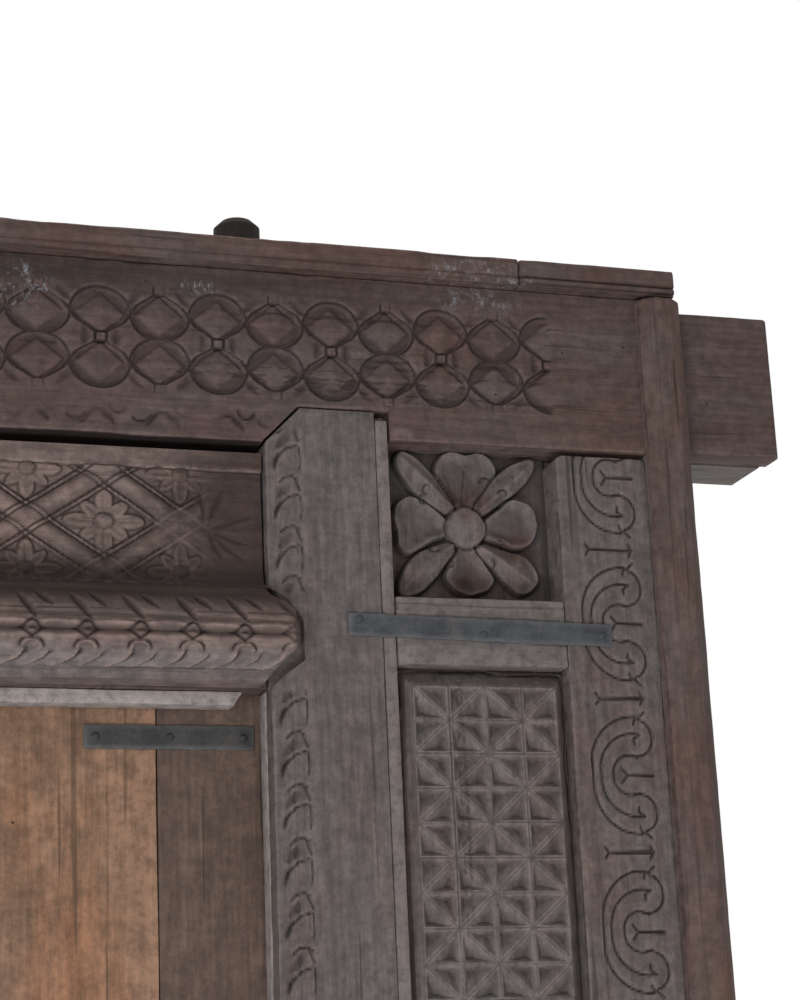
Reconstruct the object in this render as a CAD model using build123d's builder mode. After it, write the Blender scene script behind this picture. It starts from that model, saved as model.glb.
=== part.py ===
"""Carved hardwood temple door with its frame, without the wall.

X runs along the sill, Y runs into the wall and Z is up. The origin is the middle of the sill's
underside. A "depth" is measured into the wall from the carved face of the lintel beam.
"""
import math
import os

from build123d import *

os.makedirs("parts", exist_ok=True)

# Heights, from the ground up
sill_height = 130
rail_height = 80
panel_height = 510
rosette_height = 185
lintel_height = 199
lintel_lip = 10
rear_lintel_rise = 8
cornice_height = 34

# Widths, from the middle of the doorway outwards
opening_width = 1228
jamb_width = 147
panel_width = 208
stile_width = 115
batten_width = 55
horn_length = 134

# Depths of the frame's two layers of timber
front_layer = 56
back_layer = 76

# Fits
seat_clearance = 0.3
running_clearance = 0.5

# Sill, cornice and horns
sill_overhang = 12
sill_nose = 32
cornice_overhang = 20
cornice_back = 60
cornice_fascia = 22
cornice_groove = 4
cornice_joint_x = 930
cornice_end_setback = 7
horn_setback = 14
horn_rise = 9
horn_drop = 8
horn_round = 9
rear_lintel_end = 6
rear_lintel_chamfer = 16

# Jamb
jamb_head = 33
jamb_head_run = 42
jamb_head_drop = 43
jamb_gap = 2.5
jamb_fillet_width = 15.5
jamb_fillet_depth = 18
jamb_fillet_drop = 9
stop_width = 14
stop_front = 28
stop_proud = 1

# Inner lintel and roll between the jambs
frieze_gap = 12
frieze_height = 271
frieze_band = 21
frieze_band_depth = 8
frieze_depth = 14
frieze_end_gap = 3
cove_height = 30
cove_out = 10
frieze_tenon = 20
frieze_tenon_height = 90
frieze_tenon_front = 31
frieze_tenon_thickness = 18
roll_height = 108
roll_crest_out = 48
roll_crest_drop = 58
roll_shoulder_out = 14
roll_foot_out = 22
roll_fillet = 9
roll_end_reach = 32
roll_end_gap = 7
roll_end_straight = 31
roll_end_flank = 16
head_strip_height = 17.4
head_strip_front = 28
head_strip_right_gap = 25
head_strip_left_gap = 4
head_strip_break = 12

# Panels of the side bays
panel_board = 26
panel_depth = 25
panel_tongue = 10
tongue_thickness = 12
tongue_setback = 7
rosette_depth = 45
rosette_board = 24
field_margin = 17
field_top_margin = 22
star_field_depth = 4
rail_tenon = 26
rail_tenon_height = 48
rail_tenon_thickness = 16

# Edge stile and batten
stile_head_gap = 7
stile_corner = 8
batten_proud = 28
batten_head_gap = 5
batten_flat = 12

# Leaves
hinge_inset = 4
hinge_depth = 94
heel_radius = 35.5
pintle_radius = 28
pintle_top_height = 64
pintle_round = 9
socket_depth = 40
leaf_gap = 5
meeting_gap = 3
hinge_stile_width = 113
leaf_board = 34
ledge_thickness = 30
ledge_height = 110
ledge_end_gap = 20
ledge_tenon = 36
ledge_tenon_height = 60
ledge_tenon_thickness = 16

# Carving: every round is cut in short straight chops, a few to each arc
chops = 6
chip_lift = 0.5
band_rise = 105
band_end = 967
band_pitch = 135
band_outer_pitches = 4
band_inner_pitches = 3
band_row_rise = 29
drop_radius = 30
drop_mouth_angle = 8
drop_neck = 6
drop_neck_rise = 6
drop_depth = 4
drop_diamond = 19
star_columns = 4
star_rows = 12
star_land = 1.8
star_chip_depth = 6
star_chip_lean = 0.5
rosette_boss = 25
rosette_boss_rise = 17
rosette_boss_edge = 5
rosette_reach_x = 86
rosette_reach_z = 82
corner_petal = ((0.17, 0), (0.45, 0.11), (0.75, 0.16), (1, 0))
corner_petal_peak = 0.65
corner_petal_rise = 15
side_petal = ((0.24, 0.1), (0.62, 0.36), (0.9, 0.34), (1, 0))
side_petal_middle = 0.66
side_petal_rise = 10
side_petal_cup = 0.84
petal_cup_depth = 9
lattice_pitch = 172.5
lattice_rise = 57
lattice_mid = 185
lattice_crossings = 3
lattice_bar = 31
lattice_bar_depth = 7
flower_reach = 36
flower_petals = 8
flower_petal = ((0.25, 0), (0.6, 0.2), (1, 0))
flower_peak = 0.6
flower_rise = 6
bead_pitch = 57.5
bead_half = 13
bead_depth = 7
gouge_lean = 12
gouge_half = 6
scroll_inset = 43
scroll_axis = 25
scroll_period = 178
scroll_reach = 41
scroll_rise = 48
scroll_width = 4.5
scroll_depth = 3
scroll_open = 100
scroll_chops = 5
vine_inset = 22
vine_drop = 55
vine_pitch = 58.6
vine_leaf = 12
vine_leaf_half = 6
vine_depth = 4

# Iron straps and nails
strap_thickness = 3
frame_strap_length = 322
frame_strap_height = 28.5
frame_strap_lap = 58
frame_strap_drop = 24
frame_strap_tilt = 1.0
leaf_strap_height = 29
leaf_strap_length = 194
leaf_strap_from_hinge = 2
leaf_strap_below_strip = 16
lower_strap_z = 420
strap_nail_inset = 14
nail_head_radius = 5
nail_head_height = 2
nail_head_facets = 6
nail_shank = 4
nail_length = 30
nail_stagger = 6

# Places worked out from the sizes above
frame_depth = front_layer + back_layer
face_out = frame_depth / 2
jamb_in = opening_width / 2
jamb_out = jamb_in + jamb_width
bay_out = jamb_out + panel_width
bay_x = (jamb_out + bay_out) / 2
stile_out = bay_out + stile_width
batten_out = stile_out + batten_width
horn_end = batten_out + horn_length

bottom_rail_z = sill_height
lower_panel_z = bottom_rail_z + rail_height
lower_rail_z = lower_panel_z + panel_height
middle_panel_z = lower_rail_z + rail_height
middle_rail_z = middle_panel_z + panel_height
star_panel_z = middle_rail_z + rail_height
upper_rail_z = star_panel_z + panel_height
rosette_panel_z = upper_rail_z + rail_height
lintel_z = rosette_panel_z + rosette_height
lintel_top = lintel_z + lintel_height
rear_lintel_z = lintel_z + rear_lintel_rise
cornice_top = lintel_top + cornice_height
jamb_top = lintel_z + jamb_head

frieze_top = lintel_z - lintel_lip - frieze_gap
frieze_z = frieze_top - frieze_height
roll_top = frieze_z + roll_height
roll_crest_z = roll_top - roll_crest_drop

hinge_x = jamb_in - hinge_inset
hinge_y = hinge_depth - face_out
leaf_front = hinge_depth - heel_radius
leaf_back = hinge_depth + heel_radius
leaf_z = sill_height + leaf_gap
leaf_top = rear_lintel_z - leaf_gap
stile_edge_x = hinge_x - hinge_stile_width
rear_jamb_x = hinge_x + heel_radius + running_clearance
board_back = leaf_front + leaf_board

strap_left = jamb_out - frame_strap_lap
strap_right = strap_left + frame_strap_length
strap_x = (strap_left + strap_right) / 2
strap_z = upper_rail_z + rail_height - frame_strap_drop - frame_strap_height / 2
strip_z = frieze_z - head_strip_height
leaf_strap_right = hinge_x - leaf_strap_from_hinge
leaf_strap_left = leaf_strap_right - leaf_strap_length
leaf_straps_z = {
    "upper": strip_z - leaf_strap_below_strip - leaf_strap_height,
    "lower": lower_strap_z,
}


def front_plane(depth):
    """Plane of a front view, seen from outside, at a depth behind the carved face."""
    return Plane.XZ.offset(face_out - depth)


def timber(x_low, x_high, z_low, z_high, front, back):
    """Squared timber between two widths, two heights and two depths."""
    with BuildPart() as wood:
        with BuildSketch(front_plane(front)):
            with Locations(((x_low + x_high) / 2, (z_low + z_high) / 2)):
                Rectangle(x_high - x_low, z_high - z_low)
        extrude(amount=front - back)
    return wood.part


def board_outline(points, front, back):
    """Solid of a front-view outline between two depths."""
    with BuildPart() as wood:
        with BuildSketch(front_plane(front)):
            with BuildLine():
                Polyline(*points, close=True)
            make_face()
        extrude(amount=front - back)
    return wood.part


def moulding(x_low, x_high, profile):
    """Length along X of a section given as (depth, height) points, arcs as three points."""
    with BuildPart() as wood:
        with BuildSketch(Plane.YZ.offset(x_low)):
            with BuildLine():
                for kind, *points in profile:
                    placed = [(depth - face_out, z) for depth, z in points]
                    if kind == "arc":
                        ThreePointArc(*placed)
                    else:
                        Polyline(*placed)
            make_face()
        extrude(amount=x_high - x_low)
    return wood.part


def chopped_arc(x, z, radius, start, end, count):
    """Points of an arc in a front view, in degrees from +X, cut as straight chops."""
    step = (end - start) / count
    angles = [math.radians(start + step * i) for i in range(count + 1)]
    return [(x + radius * math.cos(a), z + radius * math.sin(a)) for a in angles]


def hollows(outlines, surface, depth):
    """Flat-floored hollows with the given outlines, cut into a surface that lies at one depth."""
    with BuildPart() as cuts:
        with BuildSketch(front_plane(surface)):
            for outline in outlines:
                with BuildLine():
                    Polyline(*outline, close=True)
                make_face()
        extrude(amount=-depth)
    return cuts.part


def gem(rim, front, back):
    """Solid of flat facets from a rim to one point in front and one behind, as (x, z, depth)."""
    ring = [Vector(x, depth - face_out, z) for x, z, depth in rim]
    facets = []
    for x, z, depth in (front, back):
        tip = Vector(x, depth - face_out, z)
        facets += [Face(Wire.make_polygon([start, end, tip], close=True))
                   for start, end in zip(ring, ring[1:] + ring[:1])]
    return Solid(Shell(facets))


def chip(outline, deepest, surface, depth):
    """Chip with flat sides that run from an outline in a surface to one deepest point."""
    x, z = deepest
    rim = [(px, pz, surface - chip_lift) for px, pz in outline]
    return gem(rim, (x, z, surface - 2 * chip_lift), (x, z, surface + depth))


def boss(outline, highest, surface, rise):
    """Raised form with flat sides that run from an outline on a surface to one highest point."""
    x, z = highest
    rim = [(px, pz, surface + chip_lift) for px, pz in outline]
    return gem(rim, (x, z, surface - rise), (x, z, surface + 2 * chip_lift))


def petal(profile, reach):
    """Outline along +X, from one side of it given as fractions of its reach."""
    side = [(x * reach, z * reach) for x, z in profile]
    return side + [(x, -z) for x, z in reversed(side) if z]


def turned(outline, angle, x, z):
    """Outline turned by an angle in degrees and moved to a place in a front view."""
    cosine, sine = math.cos(math.radians(angle)), math.sin(math.radians(angle))
    return [(x + px * cosine - pz * sine, z + px * sine + pz * cosine) for px, pz in outline]


# Plain panels and rails of a side bay with their lowest Z, then each panel's Z range and depth
plain_panels = {
    "lower_panel": lower_panel_z,
    "middle_panel": middle_panel_z,
}
rails = {
    "bottom_rail": bottom_rail_z,
    "lower_rail": lower_rail_z,
    "middle_rail": middle_rail_z,
    "upper_rail": upper_rail_z,
}
bay_panels = [
    (lower_panel_z, lower_panel_z + panel_height, panel_depth),
    (middle_panel_z, middle_panel_z + panel_height, panel_depth),
    (star_panel_z, star_panel_z + panel_height, panel_depth),
    (rosette_panel_z, lintel_z, rosette_depth),
]


def panel_tongues(clearance):
    """Tongues of the bay's panels, which the jamb and the post take in grooves."""
    with BuildPart() as tongues:
        for z_low, z_high, board_front in bay_panels:
            front = board_front + tongue_setback
            add(timber(jamb_out - panel_tongue - clearance, bay_out + panel_tongue + clearance,
                       z_low, z_high - clearance, front - clearance,
                       front + tongue_thickness + clearance))
    return tongues.part


def rail_tenons(clearance):
    """Tenons of the bay's rails, which the jamb and the edge stile take in mortises."""
    middle = front_layer / 2
    with BuildPart() as tenons:
        for z_low in rails.values():
            centre = z_low + rail_height / 2
            half = rail_tenon_height / 2 + clearance
            add(timber(jamb_out - rail_tenon - clearance, bay_out + rail_tenon + clearance,
                       centre - half, centre + half,
                       middle - rail_tenon_thickness / 2 - clearance,
                       middle + rail_tenon_thickness / 2 + clearance))
    return tenons.part


def frame_nail_places():
    """Nails of a frame strap, staggered about its tilted middle line."""
    slope = math.tan(math.radians(frame_strap_tilt))
    xs = (strap_left + strap_nail_inset, bay_x, strap_right - strap_nail_inset)
    stagger = (nail_stagger, -nail_stagger, 0)
    return [(x, strap_z - (x - strap_x) * slope + rise) for x, rise in zip(xs, stagger)]


def leaf_nail_places():
    """Nails of both straps of a leaf: one through the board and two through the hinge stile."""
    xs = (leaf_strap_left + strap_nail_inset, stile_edge_x + strap_nail_inset,
          leaf_strap_right - strap_nail_inset)
    return [(x, z + leaf_strap_height / 2) for z in leaf_straps_z.values() for x in xs]


def nail_shanks(places, strap_front):
    """Square shanks of forged nails, also the holes that they fill."""
    with BuildPart() as shanks:
        with BuildSketch(front_plane(strap_front)):
            with Locations(*places):
                Rectangle(nail_shank, nail_shank)
        extrude(amount=-nail_length)
    return shanks.part


def nails(places, strap_front):
    """Forged nails with faceted heads on a strap's face."""
    with BuildPart() as group:
        add(nail_shanks(places, strap_front))
        with BuildSketch(front_plane(strap_front)):
            with Locations(*places):
                RegularPolygon(nail_head_radius, nail_head_facets)
        extrude(amount=nail_head_height, taper=45)
    return group.part


frame_shanks = nail_shanks(frame_nail_places(), -strap_thickness)
leaf_shanks = nail_shanks(leaf_nail_places(), leaf_front - strap_thickness)
pieces = {}


def keep(name, part):
    """Keep one finished piece under its name."""
    part.label = name
    pieces[name] = part


def keep_pair(name, right):
    """Keep a piece of the right side and its mirror image on the left."""
    keep(name + "_right", right)
    keep(name + "_left", mirror(right, about=Plane.YZ))


# Sill, with a socket for each lower pintle
with BuildPart() as sill:
    add(timber(-batten_out - sill_overhang, batten_out + sill_overhang, 0, sill_height,
               -sill_nose, frame_depth))
    chamfer(sill.edges().filter_by(Axis.X).group_by(Axis.Y)[0].group_by(Axis.Z)[-1], sill_overhang / 2)
    with Locations((hinge_x, hinge_y, sill_height), (-hinge_x, hinge_y, sill_height)):
        Hole(pintle_radius + seat_clearance, socket_depth)
keep("sill_beam", sill.part)


# Band of interlaced circles on the lintel beam. The carver set its columns wider near the middle.
def band_columns():
    """X of every column whose drops meet at the middle of the band, right of the centre line."""
    inner_reach = band_end - band_outer_pitches * band_pitch
    inner = [inner_reach * i / band_inner_pitches for i in range(band_inner_pitches)]
    return inner + [inner_reach + band_pitch * i for i in range(band_outer_pitches + 1)]


def drop_outline(x, z, up):
    """Round hollow whose sides close in on a small boss, above it (up = 1) or under it (-1)."""
    round_end = chopped_arc(x, 0, drop_radius, -drop_mouth_angle, 180 + drop_mouth_angle, chops)
    neck = -band_row_rise + drop_neck_rise
    outline = round_end + [(x - drop_neck, neck), (x + drop_neck, neck)]
    return [(px, z + up * pz) for px, pz in outline]


def band_drops():
    """X, Z and direction of every drop, both halves of the lintel."""
    band_z = lintel_z + band_rise
    columns = band_columns()
    between = [(left + right) / 2 for left, right in zip(columns, columns[1:])]
    drops = []
    for xs, way in ((columns[:-1], 1), (between, -1)):
        for x in sorted({side * x for x in xs for side in (1, -1)}):
            drops.append((x, band_z + band_row_rise, way))
            drops.append((x, band_z - band_row_rise, -way))
    return drops


# Lintel beam: notched round the heads of the jambs, with a horn at each end
def jamb_outline(clearance):
    """Front view of a jamb's head, which the lintel beam is notched round."""
    return [
        (jamb_in - clearance, lintel_z - lintel_lip - jamb_head),
        (jamb_in - clearance, jamb_top - jamb_head_drop + clearance / 2),
        (jamb_in + jamb_head_run - clearance / 2, jamb_top + clearance),
        (jamb_out + clearance, jamb_top + clearance),
        (jamb_out + clearance, lintel_z - lintel_lip - jamb_head),
    ]


with BuildPart() as lintel:
    add(timber(-batten_out, batten_out, lintel_z, lintel_top, 0, front_layer))
    add(timber(-jamb_in - jamb_width / 2, jamb_in + jamb_width / 2, lintel_z - lintel_lip, lintel_top,
               0, front_layer))
    add(timber(-horn_end, horn_end, lintel_z + horn_rise, lintel_top - horn_drop,
               horn_setback, front_layer))
    ends = lintel.edges().filter_by(Axis.Y).group_by(Axis.X)
    fillet(ends[0] + ends[-1], horn_round)
    for side in (1, -1):
        notch = [(side * x, z) for x, z in jamb_outline(jamb_gap)]
        add(board_outline(notch, 0, front_layer), mode=Mode.SUBTRACT)
    drops = band_drops()
    add(hollows([drop_outline(*drop) for drop in drops], 0, drop_depth), mode=Mode.SUBTRACT)
    square = [(drop_diamond, 0), (0, drop_diamond), (-drop_diamond, 0), (0, -drop_diamond)]
    add([boss(turned(square, 0, x, z), (x, z), drop_depth, drop_depth) for x, z, way in drops])
keep("lintel_beam", lintel.part)


# Rear lintel, bored for the pintles, with its lower corners cut off
with BuildPart() as rear_lintel:
    add(timber(-horn_end - rear_lintel_end, horn_end + rear_lintel_end, rear_lintel_z, lintel_top,
               front_layer, frame_depth))
    low_ends = rear_lintel.edges().filter_by(Axis.Y).group_by(Axis.Z)[0]
    chamfer(low_ends, rear_lintel_chamfer)
    with Locations((hinge_x, hinge_y, lintel_top), (-hinge_x, hinge_y, lintel_top)):
        Hole(pintle_radius + seat_clearance)
keep("rear_lintel", rear_lintel.part)


# Cornice in two lengths: a fascia over two shallow grooves
def cornice(x_low, x_high):
    """Length of the cornice board that lies on the lintel beam."""
    groove_z = cornice_top - cornice_fascia
    bead = (cornice_height - cornice_fascia - cornice_groove) / 2
    inner = -cornice_overhang + cornice_groove
    return moulding(x_low, x_high, [(
        "line",
        (cornice_back, lintel_top),
        (inner, lintel_top),
        (inner, lintel_top + bead / 2),
        (-cornice_overhang, lintel_top + bead),
        (-cornice_overhang, groove_z - cornice_groove),
        (inner, groove_z - cornice_groove / 2),
        (-cornice_overhang, groove_z),
        (-cornice_overhang, cornice_top),
        (cornice_back, cornice_top),
        (cornice_back, lintel_top),
    )])


cornice_end = batten_out - cornice_end_setback
keep("cornice_board", cornice(-cornice_end, cornice_joint_x))
with BuildPart() as end_piece:
    add(cornice(cornice_joint_x, cornice_end))
    fillet(end_piece.edges().filter_by(Axis.Y).group_by(Axis.X)[-1].sort_by(Axis.Z)[-1], horn_round)
keep("cornice_end_piece", end_piece.part)


# Inner lintel: a band, the lattice field and a cove that carries the roll
def lattice():
    """Crossed bars of the field, cut off at the band above and the cove below."""
    slope = math.degrees(math.atan2(lattice_rise, lattice_pitch / 2))
    length = 2 * math.hypot(lattice_rise, lattice_pitch / 2) + lattice_bar
    low, high = roll_top + cove_height, frieze_top - frieze_band
    reach = lattice_crossings * lattice_pitch + lattice_bar
    with BuildPart() as bars:
        with BuildSketch(front_plane(lattice_bar_depth)):
            for i in range(-lattice_crossings, lattice_crossings + 1):
                for angle in (slope, -slope):
                    with Locations(Location((i * lattice_pitch, frieze_z + lattice_mid), angle)):
                        Rectangle(length, lattice_bar)
            with Locations((0, (low + high) / 2)):
                Rectangle(2 * reach, high - low, mode=Mode.INTERSECT)
        extrude(amount=lattice_bar_depth - frieze_depth)
    return bars.part


def flowers():
    """Petals of the flower in every diamond of the lattice."""
    petals = []
    for i in range(-lattice_crossings, lattice_crossings):
        x, z = (i + 0.5) * lattice_pitch, frieze_z + lattice_mid
        for turn in range(flower_petals):
            angle = turn * 360 / flower_petals
            outline = turned(petal(flower_petal, flower_reach), angle, x, z)
            peak = turned([(flower_reach * flower_peak, 0)], angle, x, z)[0]
            petals.append(boss(outline, peak, frieze_depth, flower_rise))
    return petals


with BuildPart() as inner_lintel:
    cove_z = roll_top + cove_height
    add(moulding(-jamb_in + frieze_end_gap, jamb_in - frieze_end_gap, [
        ("line",
         (-cove_out, roll_top + seat_clearance),
         (frieze_depth, roll_top + seat_clearance),
         (frieze_depth, frieze_z),
         (front_layer, frieze_z),
         (front_layer, frieze_top),
         (frieze_band_depth, frieze_top),
         (frieze_band_depth, frieze_top - frieze_band),
         (frieze_depth, frieze_top - frieze_band),
         (frieze_depth, cove_z)),
        ("arc",
         (frieze_depth, cove_z),
         (frieze_depth - cove_height / 4, roll_top + cove_height / 3),
         (-cove_out, roll_top + cove_height / 8)),
        ("line",
         (-cove_out, roll_top + cove_height / 8),
         (-cove_out, roll_top + seat_clearance)),
    ]))
    tenon_z = frieze_top - frieze_band - frieze_tenon_height
    add(timber(-jamb_in - frieze_tenon, jamb_in + frieze_tenon, tenon_z,
               tenon_z + frieze_tenon_height, frieze_tenon_front,
               frieze_tenon_front + frieze_tenon_thickness))
    add(lattice())
    add(flowers())
keep("inner_lintel", inner_lintel.part)


# Roll: a full round front over two fillets, its ends cut to enter the notches of the jambs
def roll_end_outline(clearance):
    """Front view of the roll's right half and end, also the jamb's notch with a clearance."""
    tip = jamb_in + roll_end_reach + clearance
    root = jamb_in - roll_end_gap
    straight = roll_end_straight / 2 + clearance / 2
    return [
        (root, roll_top + clearance),
        (tip - roll_end_flank, roll_top - roll_end_flank + clearance),
        (tip, roll_crest_z + straight + roll_end_gap),
        (tip, roll_crest_z - straight),
        (tip - roll_end_flank, roll_crest_z - straight - roll_end_flank / 2 - clearance / 2),
        (root, frieze_z - clearance),
    ]


def roll_chips():
    """Pits between the beads of the crest and the slanted gouges over them."""
    count = int(jamb_in / bead_pitch)
    outside = -roll_crest_out - chip_lift
    upper_z = (roll_crest_z + roll_top) / 2
    upper_depth = -roll_crest_out + roll_fillet
    chips = []
    for i in range(-count, count + 1):
        x = i * bead_pitch
        pit = [(x + bead_half, roll_crest_z), (x, roll_crest_z + bead_half),
               (x - bead_half, roll_crest_z), (x, roll_crest_z - bead_half)]
        chips.append(chip(pit, (x, roll_crest_z), -roll_crest_out, bead_depth))
        x += bead_pitch / 2
        rim = [(x + gouge_lean / 2, roll_crest_z + bead_half, outside),
               (x + gouge_half, upper_z, upper_depth - gouge_half),
               (x - gouge_lean, roll_top - roll_fillet, -roll_shoulder_out - 2 * roll_fillet),
               (x - gouge_half, upper_z, upper_depth - gouge_half)]
        chips.append(gem(rim, (x, upper_z, outside), (x, upper_z, upper_depth + gouge_half)))
    return chips


with BuildPart() as roll:
    add(moulding(-jamb_in - roll_end_reach, jamb_in + roll_end_reach, [
        ("line",
         (-roll_shoulder_out, roll_top),
         (frieze_depth, roll_top),
         (frieze_depth, frieze_z),
         (-roll_shoulder_out, frieze_z),
         (-roll_shoulder_out, frieze_z + roll_fillet),
         (-roll_foot_out, frieze_z + roll_fillet)),
        ("arc",
         (-roll_foot_out, frieze_z + roll_fillet),
         (-roll_crest_out + roll_fillet / 2, roll_crest_z - roll_end_straight / 2),
         (-roll_crest_out, roll_crest_z)),
        ("arc",
         (-roll_crest_out, roll_crest_z),
         (-roll_crest_out + roll_fillet, roll_crest_z + roll_end_straight),
         (-roll_shoulder_out, roll_top)),
    ]))
    with BuildPart(mode=Mode.PRIVATE) as ends:
        right_end = roll_end_outline(0)
        left_end = [(-x, z) for x, z in reversed(right_end)]
        add(board_outline(right_end + left_end, -roll_crest_out, frieze_depth))
    add(ends.part, mode=Mode.INTERSECT)
    add(roll_chips(), mode=Mode.SUBTRACT)
keep("roll_moulding", roll.part)


# Weathered lath under the inner lintel, broken off at its right end
strip_right = jamb_in - head_strip_right_gap
strip_left = -jamb_in + head_strip_left_gap
keep("head_strip", board_outline([
    (strip_left, strip_z),
    (strip_right - head_strip_break, strip_z),
    (strip_right, frieze_z),
    (strip_left, frieze_z),
], head_strip_front, front_layer))


def vine():
    """Leaves of the vine along the jamb's inner edge, left out beside the roll's end."""
    x = jamb_in + vine_inset
    leaf = [(vine_leaf, 0), (0, vine_leaf_half), (-vine_leaf, 0), (0, -vine_leaf_half)]
    top = lintel_z - vine_drop
    leaves = []
    for i in range(int((top - sill_height) / vine_pitch)):
        z = top - i * vine_pitch
        beside_roll = frieze_z - vine_leaf < z < roll_top + vine_leaf / 2
        if not beside_roll:
            leaves.append(chip(turned(leaf, 45, x, z), (x, z), 0, vine_depth))
    return leaves


# Jamb: a front flange over the leaf's hinge side and a rear half that clears its round heel
stop_back = jamb_in + stop_width
jamb_rebate_x = jamb_out - jamb_fillet_width
with BuildPart() as jamb:
    add(board_outline([
        (jamb_in, sill_height),
        (jamb_in, jamb_top - jamb_head_drop),
        (jamb_in + jamb_head_run, jamb_top),
        (jamb_out, jamb_top),
        (jamb_out, sill_height),
    ], 0, front_layer))
    add(timber(rear_jamb_x, jamb_out, sill_height, rear_lintel_z, front_layer, frame_depth))
    add(timber(jamb_in, stop_back, sill_height, frieze_z, stop_front, front_layer),
        mode=Mode.SUBTRACT)
    add(timber(jamb_rebate_x, jamb_out, sill_height, jamb_top, 0, jamb_fillet_depth),
        mode=Mode.SUBTRACT)
    add(board_outline(roll_end_outline(roll_end_gap), 0, frieze_depth + seat_clearance),
        mode=Mode.SUBTRACT)
    add(timber(jamb_in, jamb_in + frieze_tenon + seat_clearance, tenon_z - seat_clearance,
               tenon_z + frieze_tenon_height + seat_clearance, frieze_tenon_front - seat_clearance,
               frieze_tenon_front + frieze_tenon_thickness + seat_clearance), mode=Mode.SUBTRACT)
    add(panel_tongues(seat_clearance), mode=Mode.SUBTRACT)
    add(rail_tenons(seat_clearance), mode=Mode.SUBTRACT)
    add(frame_shanks, mode=Mode.SUBTRACT)
    add(vine(), mode=Mode.SUBTRACT)
keep_pair("jamb", jamb.part)
keep_pair("stop_lath", timber(jamb_in - stop_proud, stop_back, sill_height, frieze_z,
                              stop_front, front_layer))
keep_pair("jamb_fillet", timber(jamb_rebate_x, jamb_out, sill_height, jamb_top - jamb_fillet_drop,
                                0, jamb_fillet_depth))


# Rails of the side bays
for name, z_low in rails.items():
    with BuildPart() as rail:
        add(timber(jamb_out, bay_out, z_low, z_low + rail_height, 0, front_layer))
        add(rail_tenons(0).intersect(
            timber(jamb_in, stile_out, z_low, z_low + rail_height, 0, front_layer)))
        if name == "upper_rail":
            add(frame_shanks, mode=Mode.SUBTRACT)
    keep_pair(name, rail.part)


# Panels: a board with a tongue at each side, and what stands on its face
def panel_board_part(z_low, z_high, board_front, thickness):
    """Board of one bay panel."""
    tongue_front = board_front + tongue_setback
    with BuildPart() as board:
        add(timber(jamb_out, bay_out, z_low, z_high, board_front, board_front + thickness))
        add(timber(jamb_out - panel_tongue, bay_out + panel_tongue, z_low,
                   z_high - seat_clearance, tongue_front, tongue_front + tongue_thickness))
    return board.part


def raised_field(z_low, z_high, board_front):
    """Fielded middle of a panel, its margins sloping back to the board."""
    with BuildPart() as field:
        with BuildSketch(front_plane(board_front)):
            with Locations((bay_x, (z_low + z_high) / 2)):
                Rectangle(panel_width, z_high - z_low)
        with BuildSketch(front_plane(star_field_depth)):
            with Locations((bay_x, (z_low + z_high) / 2)):
                Rectangle(panel_width - 2 * field_margin, z_high - z_low - 2 * field_top_margin)
        loft(ruled=True)
    return field.part


for name, z_low in plain_panels.items():
    with BuildPart() as panel:
        add(panel_board_part(z_low, z_low + panel_height, panel_depth, panel_board))
        add(raised_field(z_low, z_low + panel_height, panel_depth))
    keep_pair(name, panel.part)

def star_chip(corner, star, next_star):
    """Three-sided chip between two stars, deepest towards its square corner."""
    sides = (math.dist(star, next_star), math.dist(next_star, corner), math.dist(corner, star))
    rim = sum(sides)
    middle = [sum(side * point[i] for side, point in zip(sides, (corner, star, next_star))) / rim
              for i in range(2)]
    inner_radius = sides[1] * sides[2] / rim
    shrink = 1 - star_land / inner_radius
    outline = [tuple(middle[i] + (point[i] - middle[i]) * shrink for i in range(2))
               for point in (corner, star, next_star)]
    deepest = [middle[i] + (outline[0][i] - middle[i]) * star_chip_lean for i in range(2)]
    return chip(outline, deepest, star_field_depth, star_chip_depth)


def star_chips():
    """Two chips in each cell of the field, so that eight rays are left round every star."""
    left, top = jamb_out + field_margin, upper_rail_z - field_top_margin
    width = (panel_width - 2 * field_margin) / star_columns
    height = (panel_height - 2 * field_top_margin) / star_rows
    chips = []
    for column in range(star_columns):
        for row in range(star_rows):
            xs = (left + column * width, left + (column + 1) * width)
            zs = (top - row * height, top - (row + 1) * height)
            if (column + row) % 2:
                xs = xs[::-1]
            stars = ((xs[0], zs[0]), (xs[1], zs[1]))
            chips += [star_chip(corner, *stars) for corner in ((xs[1], zs[0]), (xs[0], zs[1]))]
    return chips


with BuildPart() as star_panel:
    add(panel_board_part(star_panel_z, star_panel_z + panel_height, panel_depth, panel_board))
    add(raised_field(star_panel_z, star_panel_z + panel_height, panel_depth))
    add(star_chips(), mode=Mode.SUBTRACT)
keep_pair("star_panel", star_panel.part)


# Rosette: eight petals round a boss, four of them towards the corners of the recess
rosette_z = (rosette_panel_z + lintel_z) / 2


def corner_petals():
    """Long petals with one ridge each."""
    reach = math.hypot(rosette_reach_x, rosette_reach_z)
    angle = math.degrees(math.atan2(rosette_reach_z, rosette_reach_x))
    petals = []
    for turn in (angle, 180 - angle, 180 + angle, -angle):
        outline = turned(petal(corner_petal, reach), turn, bay_x, rosette_z)
        peak = turned([(reach * corner_petal_peak, 0)], turn, bay_x, rosette_z)[0]
        petals.append(boss(outline, peak, rosette_depth, corner_petal_rise))
    return petals


def side_petals(shrink):
    """Outline and middle of each broad petal, and of the cup in it when shrunk."""
    outlines = []
    for turn, reach in enumerate((rosette_reach_x, rosette_reach_z) * 2):
        middle = reach * side_petal_middle
        outline = [(middle + (x - middle) * shrink, z * shrink) for x, z in petal(side_petal, reach)]
        outlines.append((turned(outline, turn * 90, bay_x, rosette_z),
                         turned([(middle, 0)], turn * 90, bay_x, rosette_z)[0]))
    return outlines


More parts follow.
